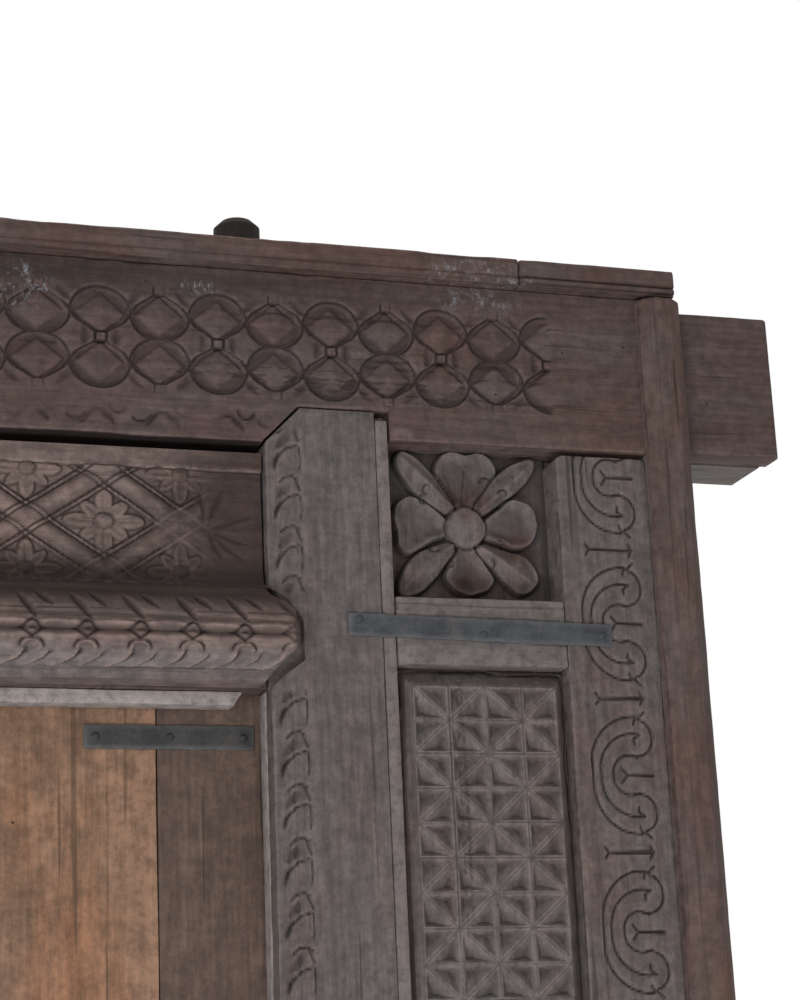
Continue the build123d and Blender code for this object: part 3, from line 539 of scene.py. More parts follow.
def frieze_shape(x, z):
    """Face of the inner lintel: band, lattice with flowers, and the cove over the roll."""
    wx = x + 1.5 * rough(x, z, 50, 21)
    wz = z + 1.2 * rough(x, z, 50, 22)
    slope = math.atan2(LATTICE_RISE, LATTICE_PITCH / 2)
    spacing = LATTICE_PITCH * math.sin(slope)
    up = wz - LATTICE_Z
    rising = np.abs(fold(-wx * math.sin(slope) + up * math.cos(slope), spacing))
    falling = np.abs(fold(wx * math.sin(slope) + up * math.cos(slope), spacing))
    bars = grime = wear = line = fan = np.zeros(np.shape(x))
    for side, order in ((rising, 0.0), (falling, 0.35)):
        crown = 9.0 * round_top(side / BAR_CROWN) + order
        bars = most(bars, crown * (side < BAR_CROWN), 5.0 * bell(side - BAR_BEAD, 1.9))
        grime = most(grime, 0.9 * bell(side - 11.4, 1.3), 0.7 * bell(side - BAR_HALF - 2.2, 1.6))
        wear = most(wear, 0.5 * bell(side - BAR_BEAD, 1.2), 0.35 * smooth(6 - side, 0, 6))
        line = most(line, cut_line(side - BAR_CROWN), cut_line(side - BAR_HALF - 1.6))
    flower, petal_grime_and_shade, petal_wear_and_highlight = small_flower(fold(wx - LATTICE_PITCH / 2, LATTICE_PITCH), up)
    over = fold(wx, LATTICE_PITCH)
    for rise in (LATTICE_RISE, -LATTICE_RISE):
        half_flower = small_flower(over * 1.15, (up - rise) * 1.15)
        flower, petal_grime_and_shade, petal_wear_and_highlight = (
            np.maximum(*both) for both in zip((flower, petal_grime_and_shade, petal_wear_and_highlight), half_flower))
    in_field = smooth(np.minimum(rising, falling), BAR_HALF - 1, BAR_HALF + 3)
    lattice_on = smooth(np.abs(x), LAST_NODE + 45, LAST_NODE + 5)
    worn = 1 - 0.75 * smooth(np.hypot((np.abs(x) - LAST_NODE) / 34, (z - LATTICE_Z + 8) / 30), 1.2, 0.4)
    height = np.maximum(bars, flower * in_field) * lattice_on * worn
    grime = np.maximum(grime * (in_field < 1), petal_grime_and_shade * in_field) * lattice_on * worn
    wear = np.maximum(wear * (in_field < 0.6), petal_wear_and_highlight * in_field) * lattice_on
    for angle, length in FAN_LEAVES:
        cosine, sine = math.cos(math.radians(angle)), math.sin(math.radians(angle))
        centre = (LAST_NODE + 30 + cosine * length * 0.62, LATTICE_Z - 6 + sine * length * 0.62)
        fan = np.maximum(fan, lens(np.abs(wx), wz, centre, angle, length, 10))
    height -= 3.2 * fan
    grime = np.maximum(grime, 0.8 * fan)
    line *= 0.96 * smooth(lattice_on * worn, 0.4, 0.9) * (z < BORDER_Z - 3) * (z > COVE_Z)
    line = np.maximum(line, cut_line(wz - BORDER_Z + 2.5) * 0.93)
    in_band = smooth(z, BORDER_Z - 1.2, BORDER_Z + 1.2)
    depth = (FRIEZE_DEPTH - height) * (1 - in_band) + 8 * in_band
    grime *= 1 - in_band
    wear = np.maximum(wear * (1 - in_band), 0.7 * bell(z - BORDER_Z, 1.6))
    sweep = unit((COVE_Z - z) / 30)
    cove = FRIEZE_DEPTH - 24 * (1 - round_top(sweep))
    depth = np.where(z < COVE_Z, np.minimum(cove, depth), depth)
    depth = np.where(z < ROLL_TOP + 4.5, -10, depth)
    depth = np.where(z < ROLL_TOP, FRIEZE_DEPTH, depth)
    # Darker in the cove over the roll and just above it: painted shade of a surface that faces up
    grime = most(grime, 0.55 * smooth(sweep, 0.0, 0.6) * smooth(ROLL_TOP + 3, z + 8, z - 2),
                 0.45 * smooth(COVE_Z + 26 - z, 0, 30))
    depth += 0.35 + 0.35 * rough(x, z, 60, 24)
    return x, depth, z, unit(grime), wear, line


# Roll
ROLL_BACK = 13.5
ROLL_OUT = 48
CREST_Z = ROLL_TOP - 58
BEAD_PITCH = 57.5
ARCH = 10
UPPER_PARTS = 24
LOWER_PARTS = 20
CREST = 1 + UPPER_PARTS
FOOT = CREST + LOWER_PARTS


def three_point_arc(start, middle, end, count):
    """Points of the circle arc through three (depth, z) points."""
    (ax, az), (bx, bz), (cx, cz) = start, middle, end
    turn = 2 * (ax * (bz - cz) + bx * (cz - az) + cx * (az - bz))
    a, b, c = ax * ax + az * az, bx * bx + bz * bz, cx * cx + cz * cz
    ox = (a * (bz - cz) + b * (cz - az) + c * (az - bz)) / turn
    oz = (a * (cx - bx) + b * (ax - cx) + c * (bx - ax)) / turn
    radius = math.hypot(ax - ox, az - oz)
    first, last = math.atan2(az - oz, ax - ox), math.atan2(cz - oz, cx - ox)
    sweep = math.remainder(last - first, 2 * math.pi)
    return [(ox + radius * math.cos(first + sweep * i / count),
             oz + radius * math.sin(first + sweep * i / count)) for i in range(count + 1)]


ROLL_PATH = np.array(
    [(ROLL_BACK, ROLL_TOP)]
    + three_point_arc((-14, ROLL_TOP), (-39, CREST_Z + 31), (-ROLL_OUT, CREST_Z), UPPER_PARTS)
    + three_point_arc((-ROLL_OUT, CREST_Z), (-43.5, CREST_Z - 15.5), (-22, FRIEZE_Z + 9),
                      LOWER_PARTS)[1:]
    + [(-14, FRIEZE_Z + 8.5), (-14, FRIEZE_Z), (ROLL_BACK, FRIEZE_Z)])
ROLL_RUN = path_runs(ROLL_PATH)
CREST_RUN = ROLL_RUN[CREST]
FOOT_RUN = ROLL_RUN[FOOT]


def on_roll(run):
    """Depth and height of the plain roll at a length along its outline."""
    return np.interp(run, ROLL_RUN, ROLL_PATH[:, 0]), np.interp(run, ROLL_RUN, ROLL_PATH[:, 1])


def roll_shape(u, run):
    """Face of the roll: slanted gouges, beads along the crest and swept leaves under them."""
    depth, z = on_roll(run)
    ahead, behind = on_roll(run + 1), on_roll(run - 1)
    normal_z = behind[0] - ahead[0]
    normal_depth = ahead[1] - behind[1]
    length = np.hypot(normal_z, normal_depth) + 1e-6
    end = np.interp(z, [FRIEZE_Z, CREST_Z - 23, CREST_Z - 15.5, CREST_Z + 22.5, ROLL_TOP - 16, ROLL_TOP],
                    [JAMB_IN - 7, ROLL_END - 16, ROLL_END, ROLL_END, ROLL_END - 16, JAMB_IN - 7])
    end = np.minimum(end, ROLL_END - 1 + 0.25 * np.minimum(depth, 0))
    x = u * end
    s = CREST_RUN - run + 1.2 * rough(x, run, 50, 31)
    wx = x + 1.5 * rough(x, run, 50, 32)
    bead = fold(wx, BEAD_PITCH)
    share = np.abs(bead) / (BEAD_PITCH / 2)
    ridge = 3.6 * bell(s - 8.5 + 4.5 * (1 - share) ** 3, 3.6)
    under_ridge = 2.2 * bell(s + 8.5 - 4.5 * (1 - share) ** 3, 4.0)
    hollow = 4.2 * bell(s, 1.8 + 4.6 * np.sqrt(share))
    diamond = 1 - np.abs(bead) / 13 - np.abs(s) / 11
    around = bell(diamond - 0.02, 0.18)
    height = ridge + under_ridge - hollow + 5.0 * unit(diamond) - 3.2 * around
    height -= 2.6 * smooth(diamond, 0.7, 0.95)

    long_x = fold(wx - (s - 12) * -0.55 - 6, BEAD_PITCH)
    short_x = fold(wx - (s - 12) * -0.7 - 6 - BEAD_PITCH / 2, BEAD_PITCH)
    gouges = np.maximum(lens(long_x, s, (0, 32), 88, 42, 15), lens(short_x, s, (0, 42), 88, 26, 13))
    height -= 6.5 * gouges

    below = smooth(-s, 10, 14)
    sweep = unit((-s - 24) / 30)
    swept = fold(wx + 10 + 46 * sweep ** 2.0, BEAD_PITCH)
    second = fold(wx - 18 + 40 * sweep ** 1.8, BEAD_PITCH)
    in_sweep = smooth(-s, 22, 26)
    edge_one = bell(swept, 2.8) * in_sweep
    edge_two = bell(second, 2.0) * smooth(-s, 26, 32)
    arch_line = bell(arc_distance(bead, s, (0, -25), 11, 5, 175), 2.0) * below
    height += 5.2 * edge_one + 3.4 * edge_two + 3.2 * arch_line
    shade = bell(swept - 5.0, 3.4) * in_sweep
    shade_two = bell(second - 4.6, 3.0) * smooth(-s, 22, 30)
    from_arch = np.hypot(bead, s + 24)
    cup = smooth(9.5 - from_arch, 0, 6) * smooth(s, -30, -20)
    height -= 3.6 * shade + 2.8 * shade_two + 3.0 * cup
    over_arch = below * smooth(s, -27, -22)
    arch_shade = bell(from_arch - ARCH - 3.4, 1.8) * over_arch
    height -= 2.4 * arch_shade

    # Painted shade on the shadow side of the swept ridges and over the arch, with dirt in the hollows and
    # gouges
    grime = most(unit(hollow / 5 + around), gouges, 0.35 * shade + 0.25 * shade_two + 0.7 * arch_shade)
    # Pale ridges: worn wood, and painted highlights where light from below catches them
    wear = np.maximum(unit((ridge + under_ridge) / 3.6) * smooth(share, 0.1, 0.4),
                      1.6 * edge_one + 0.9 * edge_two + 1.2 * arch_line)
    # Cut lines painted dark as shade under the arch and below the swept ridges
    line = most(0.94 * cut_line(s) * smooth(share, 0.1, 0.3), 0.93 * cut_line(diamond * 7.5),
                0.93 * cut_line(swept - 5.4) * in_sweep,
                0.9 * cut_line(second - 4.6) * smooth(-s, 26, 32),
                0.97 * cut_line(from_arch - ARCH - 3.6) * over_arch)
    on_round = smooth(run, ROLL_RUN[2], ROLL_RUN[4]) * smooth(FOOT_RUN - 1 - run, 0, 4)
    near_end = smooth(end - np.abs(x), 2, 16)
    sunk = 4.8 * smooth(run, ROLL_RUN[1], ROLL_RUN[5])
    height = np.minimum(height * on_round * near_end - sunk - 0.5 * rough(x, run, 70, 33), -0.2)
    height = np.where((run < 2) | (run > ROLL_RUN[-1] - 2), -0.3, height)
    height = height - 3 * fade(end - np.abs(x), 5) ** 2
    depth = depth + normal_depth / length * height
    z = z + normal_z / length * height * (np.abs(normal_z) > 0.01)
    z = np.clip(z, FRIEZE_Z, ROLL_TOP)
    return (x, np.minimum(depth, ROLL_BACK), z, unit(grime * on_round), unit(wear * on_round),
            line * on_round * near_end)


# Jamb with its vine
VINE_PITCH = 58.6
VINE_STRIP = 46
VINE_LINES = (((16, -4), (22, 2), (31, 4), (38, 0)), ((34, 1), (40, -13)),
              ((10, -46), (14, -33), (25, -22), (37, -18)))
VINE_STEM = ((40, -19), (41, -36), (38, -52))


def vine(x, z):
    """Depth, dirt with painted shade, and worn edges with painted highlights of the leaf vine along the
    jamb's inner edge.
    """
    wx = x + 0.8 * rough(x, z, 30, 41)
    up = fold(z + 1.2 * rough(x, z, 40, 42) - (LINTEL_Z - 53), VINE_PITCH)
    up = np.where(up > 12, up - VINE_PITCH, up)

    def stroke(points):
        return line_distance(wx, up, *((JAMB_IN + px, pz) for px, pz in points))

    line = least(*map(stroke, VINE_LINES), stroke(VINE_STEM) + 0.4)
    hollow = lens(wx, up, (JAMB_IN + 21, -13), 48, 29, 12)
    shadow = lens(wx, up, (JAMB_IN + 13, -34), 62, 26, 9)
    groove = vee(line, 4.4, 3.0)
    depth = groove + 5.0 * hollow + 3.4 * shadow
    grime = unit(groove / 3.0 + 0.45 * hollow + 0.45 * shadow)
    wear = bell(line - 3.0, 1.0) * 0.4
    present = smooth(JAMB_IN + VINE_STRIP - 1 - x, 0, 2) * smooth(x, JAMB_IN + 6, JAMB_IN + 9)
    present *= smooth(JAMB_TOP - 22 - z, 0, 8) * smooth(z, SILL_TOP + 30, SILL_TOP + 50)
    present *= 1 - smooth(z, FRIEZE_Z - 8, FRIEZE_Z) * smooth(ROLL_TOP + 4 - z, 0, 8)
    return depth * present, grime * present, wear * present


def jamb_shape(u, z):
    """Face of the right jamb, its inner edge cut for the head and for the roll's end."""
    inner = np.interp(z, [FRIEZE_Z - 1, CREST_Z - 30.5, CREST_Z - 19, CREST_Z + 26, CREST_Z + 49,
                          ROLL_TOP + 3.5, JAMB_TOP - 43, JAMB_TOP],
                      [JAMB_IN, JAMB_IN + 23, JAMB_IN + 39, JAMB_IN + 39, JAMB_IN + 23,
                       JAMB_IN, JAMB_IN, JAMB_IN + 42])
    outer = FILLET_X - 0.6
    x = inner + u * (outer - inner)
    x = x + 0.8 * unit(rough(z, 0 * z, 90, 46)) * (1 - 2 * u)
    depth, grime, wear = vine(x, z)
    depth += 0.4 + 0.4 * rough(x, z, 80, 43) + 0.12 * rough(x * 5, z, 25, 44)
    lost, arris = worn_edges(x, z, (inner, SILL_TOP - 20), (outer + 3, JAMB_TOP), 2.2, 45)
    return x, depth + lost, z, grime, np.maximum(wear, arris * 0.7)


# Edge stile with its scroll
SCROLL_PERIOD = 178.0
SCROLL_ARCS = (((0.5, -15), 53, 180, 274), ((-1, -6), 42, 170, 282), ((-7, -2), 21, 160, 300),
               ((1.5, -43.5), 22, -62, 108))
SCROLL_LINES = (((-52.5, 0), (-52.5, 15)), ((4, 68), (1, 59)), ((8, 47), (0, 42), (1, 36)),
                ((10, 63), (7, 66), (15, 73)), ((-11, 0), (22, 0.5)), ((-11, 0), (-18, 9)),
                ((-39, 89), (16, 88)), ((-39, 89), (-44, 82)), ((15, 89), (11, 81)))


def scroll(x, z):
    """Distance to the lines of the scroll, folded about its level axes."""
    down = np.abs(fold(STILE_TOP - 25 - z + 1.4 * rough(x, z, 60, 52), SCROLL_PERIOD))
    wx = x - (STILE_OUT - 41) + 1.4 * rough(x, z, 60, 51)
    return least(*(arc_distance(wx, -down, *arc) for arc in SCROLL_ARCS),
                 *(line_distance(wx, down, *points) for points in SCROLL_LINES))


def stile_shape(u, z):
    """Face of the right edge stile, its upper corners rounded."""
    corner = 8 - np.sqrt(np.clip(64 - np.clip(z - STILE_TOP + 8, 0, 8) ** 2, 0, 64))
    inner, outer = BAY_OUT + corner, STILE_OUT - corner
    x = inner + u * (outer - inner)
    line = scroll(x, z)
    present = smooth(z, SILL_TOP + 30, SILL_TOP + 60)
    groove = vee(line, 4.6, 3.4) * present
    depth = groove + 0.5 + 0.5 * rough(x, z, 90, 53) + 0.12 * rough(x * 5, z, 25, 54)
    scratch = vee(x - BAY_OUT - 21 + 0.8 * rough(x, z, 160, 55), 1.8, 0.6)
    depth += scratch
    lost, arris = worn_edges(x, z, (inner, SILL_TOP - 20), (outer, STILE_TOP), 2.4, 56)
    grime = unit(groove / 2.6 + scratch * 0.7)
    wear = np.maximum(bell(line - 3.2, 1.0) * 0.35 * present, arris * 0.5)
    return x, depth + lost, z, grime * 0.8, wear, cut_line(line) * present


# Panels of the side bays
PANEL_DEPTH = 25.0
PANEL_BACK = PANEL_DEPTH + 26
FIELD_DEPTH = 4.0
MARGIN_X = 17.0
MARGIN_Z = 22.0
STAR_COLUMNS = 4
STAR_ROWS = 12
STAR_DEPTH = 7.5
LAND = 1.8


def star_cuts(x, z, lows, highs):
    """Depth and marks of the chip-cut stars in the field between two corners."""
    width = (highs[0] - lows[0]) / STAR_COLUMNS
    height = (highs[1] - lows[1]) / STAR_ROWS
    wx = x + 0.8 * rough(x, z, 35, 61)
    wz = z + 0.8 * rough(x, z, 35, 62)
    column, row = np.floor((wx - lows[0]) / width), np.floor((highs[1] - wz) / height)
    a = (wx - lows[0]) / width - column
    b = (highs[1] - wz) / height - row
    a = np.where(np.mod(column + row, 2) == 0, a, 1 - a)
    swap = a < b
    leg_a, leg_b = np.where(swap, b, a), np.where(swap, a, b)
    to_side = np.where(swap, leg_b * width, (1 - leg_a) * width)
    to_top = np.where(swap, (1 - leg_a) * height, leg_b * height)
    to_slant = (leg_a - leg_b) * width * height / math.hypot(width, height)
    rise = least((to_side - LAND) / 6.5, (to_top - LAND) / 6.0, (to_slant - LAND) / 13.0)
    edge = least(to_side, to_top, to_slant)
    depth = STAR_DEPTH * unit(rise) + vee(edge, 2.2, 1.0)
    grime = unit(smooth(rise, 0.35, 0.9) * 0.5 + bell(edge, 0.8) * 0.3)
    return depth, grime, bell(edge - LAND, 0.9) * 0.95


def fielded_panel(z_low, z_high, carved):
    """Shape function of a fielded panel, carved or plain."""
    lows, highs = (JAMB_OUT + MARGIN_X, z_low + MARGIN_Z), (BAY_OUT - MARGIN_X, z_high - MARGIN_Z)

    def shape(x, z):
        from_sides = np.minimum(x - JAMB_OUT, BAY_OUT - x)
        share = unit(np.minimum(from_sides / MARGIN_X, np.minimum(z - z_low, z_high - z) / MARGIN_Z))
        depth = PANEL_DEPTH - (PANEL_DEPTH - FIELD_DEPTH) * share
        # Darker toward the deep outer edge of the sloped margin: painted shade of the recess
        grime = smooth(share, 0.5, 0.0) * 0.6
        wear = bell(share - 1, 0.06) * (share < 1) * 0.5
        if carved:
            cuts, dirt_and_shade, pale = star_cuts(x, z, lows, highs)
            inside = (share >= 1)
            depth = depth + cuts * inside
            grime = np.maximum(grime, dirt_and_shade * inside)
            wear = np.maximum(wear, pale * inside)
        depth = depth + 0.3 + 0.3 * rough(x, z, 60, 63)
        rim = np.minimum(from_sides, z_high - z)
        crack = fade(np.abs(rim - 4.5 - 3.5 * rough(x, z, 24, 64)), 7)
        crack = crack * smooth(z, z_high - 240, z_high - 160) * carved
        depth = depth + 3 * smooth(crack, 0.6, 0.9)
        return x, depth, z, grime, wear, crack * smooth(rough(x, z, 60, 65), -0.5, -0.2)

    return shape


# Rosette
ROSETTE_MID = (ROSETTE_Z + LINTEL_Z) / 2 - 0.5
ROSETTE_DEPTH = 45.0
ROSETTE_BACK = ROSETTE_DEPTH + 24
BOSS = 25.0
FANS = (
    ((-9, 22), (-29, 48), (-36, 66), (-30, 86), (-14, 94), (4, 91), (20, 95), (35, 89), (43, 71),
     (30, 48), (9, 22)),
    ((22, 9), (44, 27), (55, 37), (70, 37), (85, 29), (90, 12), (88, -4), (78, -19), (62, -23),
     (44, -17), (22, -9)),
    ((9, -22), (24, -46), (32, -62), (24, -75), (12, -80), (0, -83), (-10, -80), (-19, -75),
     (-29, -61), (-22, -44), (-9, -22)),
    ((-22, -9), (-42, -17), (-56, -26), (-73, -35), (-85, -25), (-86, -8), (-90, 12), (-84, 28),
     (-67, 37), (-46, 29), (-22, 9)),
)
LEAVES = (
    ((-11, 26), (-24, 48), (-40, 69), (-57, 85), (-74, 92), (-84, 84), (-82, 69), (-68, 49),
     (-48, 31), (-22, 16)),
    ((22, 16), (50, 34), (72, 50), (87, 67), (93, 84), (85, 90), (67, 85), (50, 75), (36, 61),
     (24, 44), (11, 26)),
    ((-22, -16), (-50, -25), (-69, -38), (-82, -58), (-88, -78), (-82, -87), (-65, -84), (-49, -73),
     (-35, -57), (-22, -40), (-11, -26)),
    ((11, -26), (24, -42), (33, -52), (46, -67), (62, -79), (77, -76), (88, -62), (85, -46),
     (73, -31), (52, -25), (22, -16)),
)
RIBS = (((-14, 22), (-44, 52), (-76, 82)), ((15, 20), (52, 50), (86, 82)),
        ((-15, -20), (-52, -46), (-80, -78)), ((14, -20), (50, -46), (78, -64)))
CURLS = ((-36, 36), (22, 47), (38, 34), (33, -14), (-32, -19), (-17, -33), (22, -34), (-40, 27))


def rounded(points, parts=4):
    """Closed outline through points, its corners rounded by a smooth curve."""
    count = len(points)
    outline = []
    for i in range(count):
        a, b, c, d = (np.array(points[(i + k) % count], float) for k in range(-1, 3))
        for part in range(parts):
            t = part / parts
            outline.append(tuple(0.5 * (2 * b + (c - a) * t + (2 * a - 5 * b + 4 * c - d) * t ** 2
                                        + (3 * b - a - 3 * c + d) * t ** 3)))
    return outline


def inside_distance(x, z, outline):
    """Distance to an outline, above 0 inside it and below 0 outside."""
    distance = line_distance(x, z, *outline, outline[0])
    crossings = np.zeros(np.shape(x), bool)
    for (ax, az), (bx, bz) in zip(outline, outline[1:] + outline[:1]):
        if az != bz:
            crossings ^= ((az > z) != (bz > z)) & (x < (bx - ax) * (z - az) / (bz - az) + ax)
    return np.where(crossings, distance, -distance)


def rosette_shape(x, z):
    """Face of a rosette panel: eight petals round a boss on a deep ground."""
    px = x - BAY_X + 2.5 + 1.3 * rough(x, z, 45, 71)
    pz = z - ROSETTE_MID + 1.3 * rough(x, z, 45, 72)
    radius = np.hypot(px, pz)
    height = grime = wear = np.zeros(np.shape(x))
    outward = smooth(radius, 30, 78)
    for fan in FANS:
        inside = inside_distance(px, pz, rounded(fan))
        rise = 13 - 7.5 * smooth(inside, 2.5, 15) * (1 - 0.35 * outward) + 1.5 * outward
        height = np.where(inside > -1, rise * smooth(inside, -1, 1.6), height)
        grime = most(grime * (inside < 1), 0.9 * bell(inside + 0.8, 1.8), 0.35 * smooth(inside, 6, 16))
        wear = np.where(inside > 0, 0.5 * bell(inside - 2.4, 1.6), wear)
    tip = smooth(radius, 60, 105)
    for leaf, rib in zip(LEAVES, RIBS):
        inside = inside_distance(px, pz, rounded(leaf))
        ridge = line_distance(px, pz, *rib)
        share = inside / np.maximum(inside + ridge, 1)
        rise = 8.5 + 8.5 * share * (1 - 0.3 * tip) + 2.0 * smooth(radius, 40, 80)
        rise += 2.5 * tip * bell(inside - 3, 2.5)
        over = np.maximum(rise * smooth(inside, -1, 1.6), height * (inside < 0))
        height = np.where(inside > -1, over, height)
        grime = np.maximum(grime * (inside < 1), 0.95 * bell(inside + 0.8, 1.8))
        pale = np.maximum(0.45 * bell(ridge, 1.8) * smooth(inside, 2, 6), 0.4 * bell(inside - 2.2, 1.4))
        wear = np.where(inside > 0, pale, wear)
    rib_up = line_distance(px, pz, (0, 30), (3, 72))
    height -= vee(rib_up, 4, 2.2)
    pit = np.exp(-((px - 1) / 9) ** 2 - ((pz + 66) / 8) ** 2)
    height -= 5 * pit
    grime = most(grime, vee(rib_up, 4, 0.7), 0.8 * pit)
    for cx, cz in CURLS:
        turn = math.degrees(math.atan2(cz, cx))
        curl = arc_distance(px, pz, (cx * 1.25, cz * 1.25), 5.5, turn - 40, turn + 120)
        height -= vee(curl, 3.6, 3.0)
        grime = np.maximum(grime, vee(curl, 3.6, 1.0))
    dome = 16.5 + 0.8 * round_top(radius / BOSS) + 0.5 * rough(x, z, 14, 74)
    boss = smooth(BOSS - radius, -0.6, 2.6)
    height = height * (1 - boss) + dome * boss
    grime = np.maximum(grime * (radius > BOSS), bell(radius - BOSS - 1.0, 1.6))
    wear = np.where(radius < BOSS, 0.1 + 0.3 * grain_noise(x / 7, z / 7, 75), wear)
    # Ground between the petals darker, most within 14 mm of the panel's walls: dirt, and painted shade of the
    # recess
    ground = smooth(height, 3.0, 0.5)
    wall = edge_distance(x, z, (JAMB_OUT, ROSETTE_Z), (BAY_OUT, LINTEL_Z))
    grime = np.maximum(grime, ground * (0.5 + 0.4 * smooth(wall, 14, 0)))
    depth = ROSETTE_DEPTH - height + 0.6 * rough(x, z, 25, 76) * ground
    return x, depth, z, unit(grime), wear


# Mouldings of the cornice and the batten
CORNICE_OUT = 20.0
CORNICE_TOP = high("cornice_board").z
CORNICE_BACK = high("cornice_board").y - FACE_Y
CORNICE_REAR = CORNICE_BACK - 0.5
CORNICE_PATH = np.array([
    (CORNICE_REAR, CORNICE_TOP), (-CORNICE_OUT, CORNICE_TOP), (-CORNICE_OUT, CORNICE_TOP - 22),
    (-CORNICE_OUT + 4, CORNICE_TOP - 24), (-CORNICE_OUT, CORNICE_TOP - 26),
    (-CORNICE_OUT, LINTEL_TOP + 4), (-CORNICE_OUT + 4, LINTEL_TOP + 2),
    (-CORNICE_OUT + 4, LINTEL_TOP), (CORNICE_REAR, LINTEL_TOP)])
CORNICE_RUN = path_runs(CORNICE_PATH)
CORNICE_ARRIS = CORNICE_RUN[1]
CORNICE_FOOT = CORNICE_RUN[7]
BATTEN_X = (STILE_OUT + BATTEN_OUT) / 2
BATTEN_HALF = (BATTEN_OUT - STILE_OUT) / 2
BATTEN_TOP = high("edge_batten_right").z
BATTEN_PROUD = FACE_Y - low("edge_batten_right").y
BATTEN_FLAT = 12


def cornice_shape(start, end, wear_amount):
    """Shape function of a length of cornice between two x places."""
    def shape(x, share):
        run = share * CORNICE_RUN[-1]
        depth = np.interp(run, CORNICE_RUN, CORNICE_PATH[:, 0])
        z = np.interp(run, CORNICE_RUN, CORNICE_PATH[:, 1])
        worn = wear_amount * unit(0.75 + 0.5 * rough(x, run, 90, 81))
        flat = -CORNICE_OUT + 2.6 - 1.4 * bell(z - CORNICE_TOP + 11, 8)
        on_front = (depth < -CORNICE_OUT + 4.2) & (z < CORNICE_TOP - 0.5)
        depth = np.where(on_front, depth * (1 - worn) + flat * worn, depth)
        arris = bell(run - CORNICE_ARRIS, 3.0)
        chip = unit(rough(x, z, 70, 82)) * 3 * arris
        wave = 1.8 * grain_noise(x / 140, 0 * x, 84) + 1.2 * unit(rough(x, 0 * x, 46, 85))
        z = z - chip * 0.7 - arris * 0.6 - wave * smooth(z, CORNICE_TOP - 20, CORNICE_TOP)
        depth = np.clip(depth + chip + arris * 0.6 + 0.4 + 0.4 * rough(x, run, 60, 83),
                        -CORNICE_OUT, CORNICE_REAR)
        near = np.minimum(x - start, end - x)
        depth = np.minimum(depth + 2.4 * fade(near, 3) ** 2, CORNICE_REAR)
        groove = bell(z - CORNICE_TOP + 24, 1.6) + bell(z - LINTEL_TOP - 2, 1.6)
        grime = unit(groove * (1 - worn * 0.8)) * on_front
        return x, depth, z, grime, arris * 0.6

    return shape


def batten_shape(u, z):
    """Face of the right batten: two facets that meet on a narrow flat."""
    x = BATTEN_X + u * BATTEN_HALF
    across = np.abs(x - BATTEN_X)
    height = BATTEN_PROUD - BATTEN_PROUD / 2 * unit((across - BATTEN_FLAT) / (BATTEN_HALF - BATTEN_FLAT))
    height -= 1.5 * bell(across - BATTEN_FLAT, 3.5)
    crack_x = BATTEN_X + 7 + 2.5 * rough(z * 0 + 3, z, 90, 91)
    crack = vee(x - crack_x, 2.0, 2.2) * smooth(np.abs(z - BATTEN_TOP + 190), 130, 90)
    seam = vee(x - BATTEN_X + 13 - 1.5 * rough(z * 0, z, 140, 92), 2.4, 1.0)
    chips = 5 * unit(rough(x, z, 16, 93)) * smooth(z, BATTEN_TOP - 26, BATTEN_TOP - 4)
    lost = 2.4 * fade(BATTEN_HALF - across, 3) ** 2
    lost += 3 * fade(BATTEN_TOP - z, 4) ** 2
    bump = 0.5 + 0.5 * rough(x, z, 70, 94) + 0.15 * rough(x * 5, z, 25, 95)
    depth = -(height - crack - seam - lost - bump) + chips
    ragged = 1.4 * unit(rough(z, 0 * z, 110, 96)) + 0.7 * unit(rough(z, 0 * z, 23, 97))
    x = x - np.sign(u) * ragged * smooth(np.abs(u), 0.8, 1)
    return x, np.minimum(depth, -1), z, unit(crack / 2 + seam * 0.5), 0.6 * fade(BATTEN_HALF - across, 3.5)


# Materials
def toned(colour, *factors):
    """A colour times one factor, or times one for each of red, green and blue."""
    return tuple(c * f for c, f in zip(colour, factors * (3 // len(factors))))


def link_nodes(material):
    """Node tree of a material with its surface shader, cleared of anything else."""
    material.use_nodes = True
    tree = material.node_tree
    tree.nodes.clear()
    output = tree.nodes.new("ShaderNodeOutputMaterial")
    shader = tree.nodes.new("ShaderNodeBsdfPrincipled")
    tree.links.new(shader.outputs["BSDF"], output.inputs["Surface"])
    return tree, shader


def noise_node(tree, vector, scale, detail, roughness=0.6):
    """Noise factor over a vector."""
    node = tree.nodes.new("ShaderNodeTexNoise")
    node.inputs["Scale"].default_value = scale
    node.inputs["Detail"].default_value = detail
    node.inputs["Roughness"].default_value = roughness
    tree.links.new(vector, node.inputs["Vector"])
    return node.outputs["Fac"]


def range_node(tree, value, start, end, out_start=0.0, out_end=1.0):
    """Value mapped smoothly from one range to another."""
    node = tree.nodes.new("ShaderNodeMapRange")
    node.interpolation_type = "SMOOTHSTEP"
    tree.links.new(value, node.inputs["Value"])
    for name, number in (("From Min", start), ("From Max", end), ("To Min", out_start), ("To Max", out_end)):
        node.inputs[name].default_value = number
    return node.outputs["Result"]


def mix_node(tree, factor, first, second, blend="MIX"):
    """Mix of two colours, each a socket or a plain colour."""
    node = tree.nodes.new("ShaderNodeMix")
    node.data_type = "RGBA"
    node.blend_type = blend
    for index, value in ((0, factor), (6, first), (7, second)):
        if isinstance(value, bpy.types.NodeSocket):
            tree.links.new(value, node.inputs[index])
        else:
            node.inputs[index].default_value = value if index == 0 else (*value, 1)
    return node.outputs[2]


def math_node(tree, operation, first, second):
    """Sum, product or other result of two values, each a socket or a number."""
    node = tree.nodes.new("ShaderNodeMath")
    node.operation = operation
    for socket, value in zip(node.inputs, (first, second)):
        if isinstance(value, bpy.types.NodeSocket):
            tree.links.new(value, socket)
        else:
            socket.default_value = value
    return node.outputs[0]


def times(tree, first, second):
    """Product of two values."""
    return math_node(tree, "MULTIPLY", first, second)


